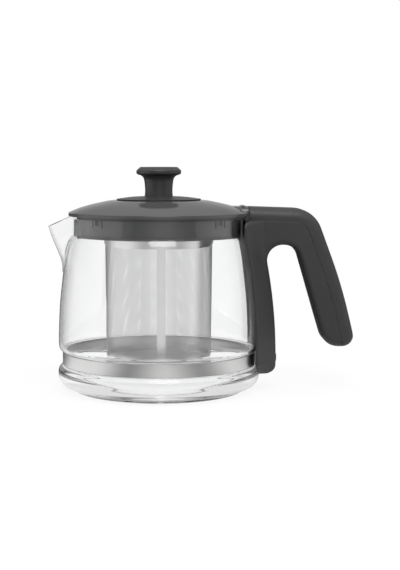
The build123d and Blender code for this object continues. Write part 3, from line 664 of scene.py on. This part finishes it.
def rim_height(turn, sizes):
    """Height of the rim at a turn from the spout's middle: level, and sloping down along the spout."""
    height = sizes.rim
    for _ in range(4):
        out = neck_and_spout(turn, height, sizes, 0.0) * cos(turn)
        height = sizes.rim - max(0.0, out - sizes.lip_start) * LIP_SLOPE
    return height


# The wall under this height is round; rows of the mesh below it and above it
SPOUT_LOW = 82.0 * MM
SIDE_ROWS = 26
NECK_ROWS = 40


def jug_columns():
    """Turns of the mesh's columns, closer together round the spout."""
    fine = [radians(step * 0.75) for step in range(-80, 81)]
    coarse = [radians(60.0 + step * 2.5) for step in range(1, 96)]
    return fine + coarse


def build_glass_jug(sizes):
    """One closed skin: underside, outside, rounded rim with its pouring lip, inside and floor."""
    edge = sizes.wall / 2
    outside = rounded(scaled(UNDERSIDE))
    outside += scaled(smooth_curve(FOOT_TO_GROOVE) + smooth_curve(GROOVE_TO_BELLY)[:-1])
    inside = scaled(smooth_curve(FLOOR_TO_BELLY))
    outer_side = [(along(JUG_SIDE, z), z) for z in evenly(JUG_SIDE[0][1], SPOUT_LOW, SIDE_ROWS)]
    inner_side = [(along(JUG_SIDE, z) - sizes.wall, z) for z in evenly(inside[-1][1], SPOUT_LOW, SIDE_ROWS)]

    def climb(turn, top, inset):
        shares = [step / NECK_ROWS for step in range(1, NECK_ROWS + 1)]
        heights = [SPOUT_LOW + share * (top - SPOUT_LOW) for share in shares]
        return [(neck_and_spout(turn, height, sizes, inset), height) for height in heights]

    brim_angles = [pi * step / 8 for step in range(1, 8)]
    vertices = []
    columns = []
    for turn in jug_columns():
        top = rim_height(turn, sizes) - edge
        outer = climb(turn, top, 0.0)
        inner = climb(turn, top, sizes.wall)
        middle = (outer[-1][0] + inner[-1][0]) / 2
        half = (outer[-1][0] - inner[-1][0]) / 2
        brim = [(middle + half * cos(angle), top + edge * sin(angle)) for angle in brim_angles]
        line = outside[1:] + outer_side + outer + brim + inner[::-1] + inner_side[:0:-1] + inside[::-1]
        columns.append(range(len(vertices), len(vertices) + len(line)))
        vertices += [(-radius * cos(turn), -radius * sin(turn), height) for radius, height in line]
    under_middle = len(vertices)
    floor_middle = under_middle + 1
    vertices += [(0.0, 0.0, outside[0][1]), (0.0, 0.0, inside[0][1])]
    faces = []
    for left, right in zip(columns, columns[1:] + columns[:1]):
        faces.append((under_middle, left[0], right[0]))
        faces.append((floor_middle, right[-1], left[-1]))
        for row in range(len(left) - 1):
            faces.append((left[row], left[row + 1], right[row + 1], right[row]))
    add_piece("glass_body", (vertices, faces), "jug", "clear_glass", "glass_jug", crease=60.0)


# ---- band, handle and their screws


def build_clamp_band():
    """Flat steel ring with broken edges, in the groove."""
    ring = [
        (67.0, 18.5, 0), (67.4, 18.5, 0.25), (67.4, 27.3, 0.25), (66.6, 27.3, 0.25), (66.6, 18.5, 0.25),
        (67.0, 18.5, 0),
    ]
    skin = lathe(rounded(scaled(ring))[:-1], 256)
    add_piece("clamp_ring", skin, "jug", "band_steel", "clamp_band")


def seam_line(sizes, depth):
    """The line in the side view that lies that deep inside the hook's outer edge, from front to toe."""
    bend, middle, toe = HOOK_OUTER
    start = (sizes.handle_front, sizes.handle_top)
    edge = spread(rounded([(*start, 0), bend, middle, (*toe[:2], 0)]), OUTLINE_GAP)
    line = [(x - nx * depth, z - nz * depth) for (x, z), (nx, nz) in zip(edge, leftwards(edge))]
    return [(start[0], start[1] - depth)] + line[1:]


def cut_at(line, floor):
    """The line down to the height of the hook's foot, drawn on where it ends above that."""
    end = min(sum(z > floor for x, z in line), len(line) - 1)
    a, b = line[end - 1 : end + 1]
    share = (a[1] - floor) / (a[1] - b[1])
    return line[:end] + [(a[0] + (b[0] - a[0]) * share, floor)]


def seam_cut(sizes, depth, share, front):
    """The seam at a depth as even points, from the handle's front down to the hook's foot, which stands
    higher by the share of its rounding."""
    line = cut_at(seam_line(sizes, depth), HOOK_LOW + TOE_ROUND * share)
    line[0] = (front - sizes.front_lean, line[0][1])
    return resampled(line, SEAM_POINTS)


def drawn_in(edge, rounds, share):
    """The inner points of an edge as (x, z, rounding), drawn in by the share of each point's rounding."""
    rows = list(zip(edge, leftwards(edge), rounds))[1:-1]
    return [(x - nx * size * share, z - nz * size * share, size) for (x, z), (nx, nz), size in rows]


def slab_loops(outline_at, half_width, steps=7):
    """Loops across the hook from one side to the other. outline_at(share) gives points (x, z, rounding),
    drawn in by the share of each point's rounding."""
    near = []
    for step in range(steps + 1):
        turn = pi / 2 * step / steps
        outline = outline_at(1 - sin(turn))
        near.append([(x, half_width - edge * (1 - cos(turn)), z) for x, z, edge in outline])
    far = [[(x, -y, z) for x, y, z in loop] for loop in reversed(near)]
    return near + far


def faded(values, passes=12):
    """Values along an open line, smoothed by that many passes."""
    for _ in range(passes):
        inner = [(a + 2 * b + c) / 4 for a, b, c in zip(values, values[1:], values[2:])]
        values = values[:1] + inner + values[-1:]
    return values


def toe_limit(sizes, loops):
    """Keep every point near the hook's foot inside the rounding of that foot."""
    safe = []
    for loop in loops:
        kept = []
        for x, y, z in loop:
            limit = sizes.handle_width / 2
            gap = HOOK_LOW + TOE_ROUND - z
            if x > HOOK_X and gap > 0:
                limit -= TOE_ROUND - sqrt(max(0.0, TOE_ROUND**2 - gap**2))
            kept.append((x, max(-limit, min(limit, y)), z))
        safe.append(kept)
    return safe


def build_handle_cover(sizes):
    """Outer moulding of the hook, with a broad rounding along its back."""
    bend, middle, toe = HOOK_OUTER
    foot_x = cut_at(seam_line(sizes, sizes.seam_depth), HOOK_LOW)[-1][0]
    top = (sizes.handle_front, sizes.handle_top, 0)
    edge = spread(rounded([top, bend, middle, toe, (foot_x, HOOK_LOW, 0)]), OUTLINE_GAP)
    rounds = faded([TOE_ROUND if z < HOOK_LOW + TOE_HEIGHT else sizes.grip_round for x, z in edge])
    seam_round = 0.15 * MM
    front_round = 0.4 * MM

    def outline(share):
        front = top[0] + front_round * share
        cut = seam_cut(sizes, sizes.seam_depth - seam_round * share, share, front)
        line = [(front, top[1] - rounds[0] * share, rounds[0])] + drawn_in(edge, rounds, share)
        line.append((*cut[-1], TOE_ROUND))
        return line + [(x, z, seam_round) for x, z in reversed(cut[:-1])]

    loops = toe_limit(sizes, slab_loops(outline, sizes.handle_width / 2 - 0.25 * MM))
    piece = add_piece("grip_shell", stack(loops), "jug", "handle_plastic", "handle_cover", crease=50.0)
    flatten_sides(piece)


def glass_side(height):
    """Inner face of the leg beside the glass, straight past the band and past the neck."""
    return along(SIDE_BY_HANDLE, height) + SHOE_CLEARANCE


def build_handle_body(sizes):
    """Inner moulding: the hook's inner half, the arch and the leg."""
    depth = sizes.seam_depth + 0.05 * MM
    foot_x = cut_at(seam_line(sizes, depth), HOOK_LOW)[-1][0]
    corners = [(foot_x, HOOK_LOW, 0), *HOOK_INNER, (glass_side(LEG_LOW), LEG_LOW, 0)]
    edge = spread(rounded(corners), OUTLINE_GAP)
    on_heel = [x > HOOK_X and z < HOOK_LOW + TOE_HEIGHT for x, z in edge]
    rounds = faded([TOE_ROUND if heel else sizes.palm_round for heel in on_heel])
    seam_round = 0.5 * MM
    bare = 0.3 * MM
    glass_line = [(glass_side(z), z) for z in evenly(LEG_LOW, SHOE_TOP, 40)[:-1]]

    def outline(share):
        cut = seam_cut(sizes, depth + seam_round * share, share, sizes.handle_front)
        line = [(x, z, seam_round) for x, z in cut[:-1]]
        line.append((*cut[-1], TOE_ROUND))
        line += drawn_in(edge, rounds, share)
        line += [(x, max(z, LEG_LOW + sizes.palm_round * share), bare) for x, z in glass_line]
        return line + [(sizes.handle_front - sizes.front_lean, SHOE_TOP, bare)]

    loops = toe_limit(sizes, slab_loops(outline, sizes.handle_width / 2))
    piece = add_piece("handle_frame", stack(loops), "jug", "handle_plastic", "handle_body", crease=50.0)
    flatten_sides(piece)


def leg_back(height):
    """Where the back of the leg stands at a height below the arch."""
    arch, top, bow, foot = HOOK_INNER[1:]
    line = rounded([arch, top, bow, foot, (foot[0] - 2 * foot[2], foot[1], 0)])
    climb = [point for point in reversed(line[:-1]) if foot[1] + 1e-6 < point[1] < top[1] - top[2] * 0.8]
    return along(climb, height)


def build_shoe(sizes):
    """Flared shoe that hugs the glass and runs into the leg's sides; its foot rises towards the edges."""
    half = sizes.shoe_width / 2
    waist = sizes.handle_width / 2 + 0.3 * MM
    shoulder = 5.0 * MM
    foot_rise = 8.0 * MM
    thick = 1.5 * MM
    leg_round_top = 84.0 * MM
    root_length = 3.2 * MM
    levels = evenly(LEG_LOW, SHOE_TOP, 60)
    levels += [LEG_LOW + foot_rise * share for share in (0.01, 0.05, 0.12, 0.22, 0.35, 0.5, 0.7, 0.9, 1.0)]
    levels += [SHOE_TOP - shoulder * share for share in (1.0, 0.7, 0.45, 0.25, 0.12, 0.04, 0.01)]
    loops = []
    for height in sorted(set(levels)):
        wide = half
        if height > SHOE_TOP - shoulder:
            rise = (height - SHOE_TOP + shoulder) / shoulder
            wide = half - shoulder + shoulder * sqrt(max(0.0, 1 - rise**2))
        if height < LEG_LOW + foot_rise:
            wide = waist + (half - waist) * ((height - LEG_LOW) / foot_rise) ** 0.8
        radius = glass_side(height)
        edge = sqrt(radius**2 - wide**2)
        plate = max(0.0, min(1.0, (height - leg_round_top) / (12 * MM)))
        corner = sizes.palm_round * (1 - sqrt(0.5)) - 0.06 * MM
        start = Vector((edge + thick, wide))
        end = Vector((leg_back(height) - corner, sizes.handle_width / 2 - corner * (1 - plate)))
        bend = end.lerp(start, 0.33).lerp(Vector((end.x - root_length, end.y)), plate)
        near = end.lerp(start, 0.67)
        rim = (edge + thick * 0.45, wide + 0.25 * MM)
        flare = [rim]
        for step in range(13):
            t = step / 12
            first = start * (1 - t) ** 3 + near * 3 * t * (1 - t) ** 2
            flare.append(tuple(first + bend * 3 * t**2 * (1 - t) + end * t**3))
        plan = arc(radius, 0.0, asin(wide / radius), 12) + flare + [(x, -y) for x, y in reversed(flare)]
        loops.append([(x, y, height) for x, y in plan])
    add_piece("handle_shoe", stack(loops), "jug", "handle_plastic", crease=60.0)


# ---- lid

# Where the lid is cut flat beside the handle, and the inside of the skirt under its tab
TAB_BACK = 61.9 * MM
SKIRT_RADIUS = 60.7 * MM


def build_lid_dome():
    """Domed cover with a rounded rim, its ring underneath and the hollow inside."""
    top = [(0.0, 132.38), (26.0, 132.38)] + smooth_curve(DOME_TOP)
    rim = [(60.2, 124.8, 0), (62.7, 123.7, 0.5), (62.7, 121.3, 0.45), (61.2, 121.3, 0)]
    ring = [
        (55.25, 121.3), (55.2, 121.0), (55.2, 115.3), (54.9, 115.0), (53.9, 115.0), (53.6, 115.3),
        (53.6, 122.6),
    ]
    hollow = [(radius - 1.0, height - 2.2) for radius, height in reversed(DOME_TOP[1:-1])]
    hollow += [(27.0, 130.1), (2.3, 130.1), (2.3, 131.0), (0.0, 131.0)]
    profile = scaled(top) + rounded(scaled(rim)) + scaled(ring + hollow)
    skin = lathe(profile, 256, closed=False)
    piece = add_piece("dome", skin, "lid", "lid_plastic", "lid_dome", crease=40.0)
    for vertex in piece.data.vertices:
        vertex.co.x = min(vertex.co.x, TAB_BACK)


def curved_plate(inner, outer, middle, reach, low, high, steps):
    """Loops of a plate that follows the jug's round, between two radii and two heights."""
    plan = arc(outer, middle, reach, steps) + arc(inner, middle, reach, steps)[::-1]
    return [[(min(x, TAB_BACK), y, height) for x, y in plan] for height in (low, high)]


def build_lid_lip():
    """Short lip under the rim that covers the edge of the glass, open at the spout."""
    reach = pi - radians(26.0)
    lip = curved_plate(60.75 * MM, 61.4 * MM, 0.0, reach, 119.9 * MM, 121.4 * MM, 90)
    add_piece("lid_lip", stack(lip), "lid", "lid_plastic", crease=40.0)


def build_collar_panels():
    """Darker gloss plates in the shallow recesses at the front and back of the collar: painted shade there.
    """
    for side, middle in (("front", -pi / 2), ("back", pi / 2)):
        # painted shade: a darker plate in each recess of the collar
        plate = curved_plate(56.6 * MM, 57.0 * MM, middle, radians(24.4), 108.4 * MM, 120.9 * MM, 24)
        name = f"collar_shade_panel_{side}"
        add_piece(name, stack(plate), "lid", "lid_plastic", crease=40.0, finish="panel_plastic")


def rounded_plan(low_x, high_x, half, corner, steps=6):
    """Plan of a block with rounded corners."""
    low_x += corner
    high_x -= corner
    half -= corner
    plan = []
    for index, (x, y) in enumerate([(high_x, half), (low_x, half), (low_x, -half), (high_x, -half)]):
        for step in range(steps + 1):
            turn = index * pi / 2 + pi / 2 * step / steps
            plan.append((x + corner * cos(turn), y + corner * sin(turn)))
    return plan


def build_thumb_tab():
    """Tab at the back of the lid, its skirt, and a rounded ridge across it."""
    half = 12.0 * MM
    front = 49.8 * MM
    low = 121.6 * MM
    high = 127.9 * MM
    edge = 4.5 * MM
    back_edge = 0.3 * MM
    skirt_low = 118.3 * MM
    ridge_x = 58.2 * MM
    ridge_reach = 9.8 * MM
    loops = []
    for step in range(-1, 11):
        turn = pi / 2 * max(step, 0) / 10
        height = low if step < 0 else high - edge + edge * sin(turn)
        back = TAB_BACK - back_edge * (1 - cos(turn))
        plan = rounded_plan(front, back, half - edge * (1 - cos(turn)), 0.4 * MM)
        loops.append([(x, y, height) for x, y in plan])
    flatten_sides(add_piece("thumb_tab", stack(loops), "lid", "lid_plastic", crease=40.0))
    plan = arc(SKIRT_RADIUS, 0.0, asin(half / SKIRT_RADIUS), 12) + [(TAB_BACK, half), (TAB_BACK, -half)]
    skirt = [[(x, y, height) for x, y in plan] for height in (skirt_low, low)]
    add_piece("tab_skirt", stack(skirt), "lid", "lid_plastic", crease=40.0)

    ridge = []
    for step in range(-12, 13):
        turn = pi / 2 * step / 12
        swell = max(0.02, cos(turn)) ** 0.5
        wide = 2.0 * MM * swell
        tall = 0.85 * MM * swell
        angles = [2 * pi * side / 16 for side in range(16)]
        y = ridge_reach * sin(turn)
        ridge.append([(ridge_x + wide * cos(angle), y, high + tall * sin(angle)) for angle in angles])
    add_piece("thumb_ridge", stack(ridge), "lid", "lid_plastic", crease=40.0)


def build_knob():
    """Mushroom knob and the crowned disc under it."""
    disc = [
        (0.0, 132.2, 0), (28.9, 132.2, 0.1), (29.3, 132.6, 0.2), (29.4, 132.95, 0.12), (20.0, 134.3, 60.0),
        (10.0, 134.8, 60.0), (0.0, 134.85, 0),
    ]
    skin = lathe(rounded(scaled(disc)), closed=False)
    add_piece("knob_disc", skin, "lid", "knob_plastic", "knob_plate", crease=40.0)
    side = smooth_curve(KNOB_SIDE)
    top = [(*side[-1], 0), (15.6, 152.6, 0.9), (12.9, 155.0, 0.9), (0.0, 155.1, 0)]
    foot = [(0.0, 133.5, 0), (10.6, 133.5, 0.2), (*side[0], 0)]
    profile = rounded(scaled(foot)) + scaled(side[1:]) + rounded(scaled(top))[1:]
    add_piece("knob_cap", lathe(profile, 128, closed=False), "lid", "knob_plastic", "knob")


# ---- infuser basket

SEAM_MIDDLE = radians(-87.5)
SEAM_HALF = 2.9 * MM
WALL_LOW = 22.9 * MM
WALL_HIGH = 101.6 * MM
BASKET_FOOT = 21.7 * MM
BASKET_HEIGHT = 80.8 * MM


def basket_radius(height):
    """Outer radius of the wall, which widens by 0.8 mm towards its top."""
    return (36.55 + 0.8 * (height - BASKET_FOOT) / BASKET_HEIGHT) * MM


def honeycomb(rows_at, place, pitch, share):
    """Sheet with a hole in each six-sided cell. rows_at lists (row, first, last) of cells; place(u, v, layer)
    gives a point of the sheet."""
    vertices = []
    known = {}

    def ring(u, v, reach, layer):
        """The six corners round a place, each made once for all cells that share it."""
        indices = []
        for x, y in corners:
            spot = (u + reach * x, v + reach * y)
            key = (round(spot[0] / pitch * 60), round(spot[1] / pitch * 60), layer)
            if key not in known:
                known[key] = len(vertices)
                vertices.append(place(*spot, layer))
            indices.append(known[key])
        return indices

    reaches = (pitch / sqrt(3), pitch / sqrt(3) * share)
    corners = [(cos(pi / 3 * side + pi / 6), sin(pi / 3 * side + pi / 6)) for side in range(6)]
    faces = []
    for row, first, last in rows_at:
        for column in range(first, last):
            u = (column + (row % 2) / 2) * pitch
            v = row * pitch * sqrt(3) / 2
            cell, hole = [ring(u, v, reach, 0) for reach in reaches]
            back_cell, back_hole = [ring(u, v, reach, 1) for reach in reaches]
            for side in range(6):
                after = (side + 1) % 6
                faces.append((cell[side], cell[after], hole[after], hole[side]))
                faces.append((back_cell[after], back_cell[side], back_hole[side], back_hole[after]))
                faces.append((hole[side], hole[after], back_hole[after], back_hole[side]))
    return vertices, faces


def build_basket_wall(sizes):
    """Perforated sheet in six panels, the plain strip along its seam, and the plain hems at its ends."""
    sheet = 0.11 * MM
    proud = 0.06 * MM
    mean = basket_radius((WALL_LOW + WALL_HIGH) / 2)
    open_arc = 2 * pi - 2 * SEAM_HALF / mean + 2.0 * MM / mean
    count = 6 * round(open_arc * mean / (sizes.hole_pitch * sqrt(3) / 2) / 6)
    pitch = open_arc * mean / count * 2 / sqrt(3)
    rows = int((WALL_HIGH - WALL_LOW) / pitch) + 1
    start = SEAM_MIDDLE + (SEAM_HALF - 1.0 * MM) / mean

    def place(v, u, layer):
        height = WALL_LOW + v
        radius = basket_radius(height) - sheet * layer
        turn = start + u / mean
        return (radius * cos(turn), radius * sin(turn), height)

    for panel in range(6):
        span = [(line, 0, rows) for line in range(panel * count // 6, (panel + 1) * count // 6)]
        skin = honeycomb(span, place, pitch, sizes.hole_share)
        name = f"basket_sheet_{panel + 1}"
        add_piece(name, skin, "basket", "basket_steel", "basket_wall", crease=30.0)

    strip = []
    for height in (21.9 * MM, 102.4 * MM):
        outer = basket_radius(height) + proud
        inner = outer - sheet - 2 * proud
        reach = SEAM_HALF / outer
        plan = arc(outer, SEAM_MIDDLE, reach, 6) + arc(inner, SEAM_MIDDLE, reach, 6)[::-1]
        strip.append([(x, y, height) for x, y in plan])
    add_piece("basket_seam", stack(strip), "basket", "basket_steel", crease=30.0)
    for name, low, high in (("basket_hem_top", 100.2, 102.5), ("basket_hem_base", 21.7, 24.0)):
        ring = []
        for height, side in ((low, 1), (high, 1), (high, -1), (low, -1)):
            radius = basket_radius(height * MM) - sheet / 2 + side * (sheet / 2 + proud)
            ring.append((radius, height * MM))
        add_piece(name, lathe(ring), "basket", "basket_steel")


def build_basket_base():
    """Dish that closes the basket: a turned-up edge and a perforated floor."""
    dish = [
        (32.6, 21.7, 0), (35.95, 21.7, 0.9), (35.95, 25.7, 0), (35.45, 25.7, 0), (35.45, 22.2, 0.4),
        (32.6, 22.2, 0),
    ]
    add_piece("basket_dish", lathe(rounded(scaled(dish))), "basket", "basket_steel", "basket_base")
    pitch = 1.5 * MM
    reach = 33.4 * MM
    lines = int(reach / (pitch * sqrt(3) / 2))
    rows_at = []
    for row in range(-lines, lines + 1):
        width = sqrt(reach**2 - (row * pitch * sqrt(3) / 2) ** 2) / pitch
        shift = (row % 2) / 2
        rows_at.append((row, ceil(-width - shift), int(width - shift) + 1))

    def place(u, v, layer):
        return (u, v, (21.72 + 0.46 * layer) * MM)

    skin = honeycomb(rows_at, place, pitch, 0.76)
    add_piece("basket_floor", skin, "basket", "basket_steel", crease=30.0)


# ---- stage

# Brightness of the studio round the jug, as (share of a full turn, level). The turn starts behind the
# jug, passes its left side, the eye in the middle, and its right side.
STUDIO_RING = [
    (0.0, 0.05), (0.050, 0.08), (0.145, 0.15), (0.208, 1.0), (0.333, 1.0), (0.417, 0.22),
    (0.5, 0.80), (0.522, 0.85), (0.617, 0.25), (0.708, 0.92), (0.760, 0.86), (0.830, 0.40),
    (0.950, 0.08), (1.0, 0.05),
]


def studio_level(tree, toward):
    """Brightness of the studio in a direction by its turn round the jug, the softer level in metal behind
    the glass, how far the direction points away from the eye, and how far up."""
    toward = tree.add("ShaderNodeVectorMath", {0: toward}, operation="NORMALIZE").outputs[0]
    x, away, up = tree.parts(toward)
    turn = x.combine("ARCTAN2", x, 0 - away) / (2 * pi) + 0.5
    level = tree.ramp(turn, STUDIO_RING)
    return level, 1 - (1 - level) * 0.8, away, up


def seen_white(tree, level, inner, edge):
    """White for the eye and straight through glass, the studio's level in metal, the inner level in metal
    behind the glass, and an edge level where the wall of the glass mirrors it."""
    rays = tree.add("ShaderNodeLightPath")
    through = tree.read(rays, "Is Transmission Ray")
    glossy = (tree.read(rays, "Is Glossy Ray") - through).most(0.0)
    mirrored = through * tree.read(rays, "Glossy Depth").least(1.0)
    behind_glass = tree.read(rays, "Transmission Depth").over(THREE_OR_MORE)
    metal = mirrored * behind_glass
    wall = mirrored * (1 - behind_glass)
    return 1 - glossy * (1 - level) - metal * (1 - inner) - wall * (1 - edge), rays


def studio_world():
    """White background for the eye, a studio with darker corners for metal and glass, and plain light."""
    tree = ShadeTree(bpy.data.worlds.new("studio"))
    ring, inner, away, up = studio_level(tree, tree.add("ShaderNodeTexCoord").outputs["Generated"])
    overhead = ((up - 0.15) * 3.0).held()
    low = ring.least(0.9) * (1 - overhead)
    above_floor = ((up - 0.04) * 30.0).held()
    rear = ((away - 0.7) * 5.0).held() * (1 - overhead) * 0.5
    level = low * (1 - above_floor * 0.6) + rear + overhead * (0.12 + 0.85 * up.most(0.0) ** 1.5)
    white, rays = seen_white(tree, level, inner, 0.9)
    shown = tree.mix(tree.read(rays, "Is Diffuse Ray"), white, (0.58, 0.58, 0.58))
    light = tree.add("ShaderNodeBackground", {"Color": shown, "Strength": 1.0})
    bpy.context.scene.world = tree.finish(light, "ShaderNodeOutputWorld")


def build_floor(stage):
    """Pale floor that shows white to the eye and takes a soft shadow near the jug."""
    tree = new_finish("floor")
    where = tree.places()
    away = tree.read(tree.add("ShaderNodeVectorMath", {0: where}, operation="LENGTH"), "Value")
    near = (1.0 - (away - 0.15) * 3.0).held()
    ring, inner = studio_level(tree, where)[:2]
    white, rays = seen_white(tree, ring, inner, 0.84 - near * 0.06)
    eye = tree.read(rays, "Is Camera Ray")
    seen = (eye + tree.read(rays, "Is Glossy Ray") + tree.read(rays, "Is Transmission Ray")).least(1.0)
    pale = tree.mix(tree.noise(6.0, 2.0), lighter(stage.floor, 0.99), stage.floor)
    tone = tree.mix(tree.read(rays, "Is Diffuse Ray"), pale, lighter(stage.floor, 0.5))
    matt = tree.add("ShaderNodeBsdfDiffuse", {"Color": tone})
    bright = tree.add("ShaderNodeEmission", {"Color": white, "Strength": 1.0})
    finish = tree.blend(seen - eye * near * 0.10, matt, bright)
    mesh = bpy.data.meshes.new("floor")
    size = 6.0
    corners = [(-size, -size, 0), (size, -size, 0), (size, size, 0), (-size, size, 0)]
    mesh.from_pydata(corners, [], [(0, 1, 2, 3)])
    mesh.materials.append(finish)
    floor = bpy.data.objects.new("floor", mesh)
    floor.location.z = -0.0001
    bpy.context.collection.objects.link(floor)


def add_lamp(name, place, aim, size, power, mirrored=False):
    """A soft square lamp that looks at a point, and may be mirrored in smooth surfaces."""
    lamp = bpy.data.lights.new(name, "AREA")
    lamp.shape = "SQUARE"
    lamp.size = size
    lamp.energy = power
    holder = bpy.data.objects.new(name, lamp)
    holder.location = place
    holder.rotation_euler = (Vector(aim) - Vector(place)).to_track_quat("-Z", "Y").to_euler()
    holder.visible_camera = False
    holder.visible_glossy = mirrored
    holder.visible_transmission = False
    bpy.context.collection.objects.link(holder)


def build_camera(stage):
    """Camera in front of the jug, a little above it, shifted so that the handle is in the frame."""
    data = bpy.data.cameras.new("camera")
    data.lens = stage.lens
    data.sensor_width = 36.0
    data.shift_x = 0.0723
    data.clip_start = 0.01
    camera = bpy.data.objects.new("camera", data)
    rise = stage.distance * sin(stage.pitch)
    camera.location = (0.0, -stage.distance * cos(stage.pitch), stage.aim_height + rise)
    camera.rotation_euler = (pi / 2 - stage.pitch, 0.0, 0.0)
    bpy.context.collection.objects.link(camera)
    bpy.context.scene.camera = camera


# ---- operators


class TEAJUG_OT_glass(bpy.types.Operator):
    """Blow the glass jug with its groove, foot and spout"""

    bl_idname = "tea_jug.glass"
    bl_label = "Glass jug"

    def execute(self, context):
        build_glass_jug(context.scene.tea_jug_sizes)
        return {"FINISHED"}


class TEAJUG_OT_band(bpy.types.Operator):
    """Fit the clamp band and finish its bracket, nut, washer and screw"""

    bl_idname = "tea_jug.band"
    bl_label = "Clamp band"

    def execute(self, context):
        build_clamp_band()
        dress("fastener_steel", "band_bracket", "clamp_nut", "clamp_washer")
        dress("black_screw", "clamp_screw")
        return {"FINISHED"}


class TEAJUG_OT_handle(bpy.types.Operator):
    """Mould the handle: shell, frame and shoe"""

    bl_idname = "tea_jug.handle"
    bl_label = "Handle"

    def execute(self, context):
        sizes = context.scene.tea_jug_sizes
        build_handle_cover(sizes)
        build_handle_body(sizes)
        build_shoe(sizes)
        dress("soft_pad", "handle_pad")
        dress("fastener_steel", "cover_screws")
        return {"FINISHED"}


class TEAJUG_OT_lid(bpy.types.Operator):
    """Mould the lid: dome, lip, thumb tab, collar with its painted-shade panels, and liner"""

    bl_idname = "tea_jug.lid"
    bl_label = "Lid"

    def execute(self, context):
        build_lid_dome()
        build_lid_lip()
        build_collar_panels()
        build_thumb_tab()
        dress("lid_plastic", "lid_collar", "lid_liner")
        return {"FINISHED"}


class TEAJUG_OT_knob(bpy.types.Operator):
    """Fit the knob, its disc and its screw"""

    bl_idname = "tea_jug.knob"
    bl_label = "Knob"

    def execute(self, context):
        build_knob()
        dress("brass_insert", "knob_insert")
        dress("fastener_steel", "knob_screw")
        dress("soft_pad", "knob_washer")
        return {"FINISHED"}


class TEAJUG_OT_basket(bpy.types.Operator):
    """Roll the perforated infuser basket"""

    bl_idname = "tea_jug.basket"
    bl_label = "Infuser basket"

    def execute(self, context):
        dress("basket_steel", "basket_rim")
        build_basket_wall(context.scene.tea_jug_sizes)
        build_basket_base()
        return {"FINISHED"}


class TEAJUG_OT_stage(bpy.types.Operator):
    """Set the studio light, the floor and the camera"""

    bl_idname = "tea_jug.stage"
    bl_label = "Stage"

    def execute(self, context):
        stage = context.scene.tea_jug_stage
        context.scene.view_settings.view_transform = "Standard"
        studio_world()
        build_floor(stage)
        centre = (0.02, 0.0, 0.07)
        add_lamp("lamp_top", (0.0, -0.1, 1.5), centre, 1.4, 7.0)
        add_lamp("lamp_front", (0.1, -0.9, 1.25), centre, 0.7, 9.5, True)
        add_lamp("lamp_left", (-1.4, -0.6, 0.8), centre, 1.1, 7.0)
        add_lamp("lamp_right", (1.4, -0.5, 0.8), centre, 1.1, 6.0)
        build_camera(stage)
        return {"FINISHED"}


class TEAJUG_PT_sidebar(bpy.types.Panel):
    """Lists the steps that build the jug and the values that they read"""

    bl_label = "Tea jug"
    bl_idname = "TEAJUG_PT_sidebar"
    bl_space_type = "VIEW_3D"
    bl_region_type = "UI"
    bl_category = "Tea jug"

    def draw(self, context):
        for step in STEPS:
            self.layout.operator(step.bl_idname)
        scene = context.scene
        for group in (scene.tea_jug_sizes, scene.tea_jug_looks, scene.tea_jug_stage):
            for entry in group.bl_rna.properties:
                if entry.identifier not in ("name", "rna_type"):
                    self.layout.prop(group, entry.identifier)


STEPS = (
    TEAJUG_OT_glass,
    TEAJUG_OT_band,
    TEAJUG_OT_handle,
    TEAJUG_OT_lid,
    TEAJUG_OT_knob,
    TEAJUG_OT_basket,
    TEAJUG_OT_stage,
)
GROUPS = {"tea_jug_sizes": TeaJugSizes, "tea_jug_looks": TeaJugLooks, "tea_jug_stage": TeaJugStage}
CLASSES = (*GROUPS.values(), *STEPS, TEAJUG_PT_sidebar)


def register():
    for entry in CLASSES:
        bpy.utils.register_class(entry)
    for name, group in GROUPS.items():
        setattr(bpy.types.Scene, name, bpy.props.PointerProperty(type=group))


def unregister():
    for name in GROUPS:
        delattr(bpy.types.Scene, name)
    for entry in reversed(CLASSES):
        bpy.utils.unregister_class(entry)


def main():
    register()
    bpy.ops.tea_jug.glass()
    bpy.ops.tea_jug.band()
    bpy.ops.tea_jug.handle()
    bpy.ops.tea_jug.lid()
    bpy.ops.tea_jug.knob()
    bpy.ops.tea_jug.basket()
    bpy.ops.tea_jug.stage()


if __name__ == "__main__":
    main()
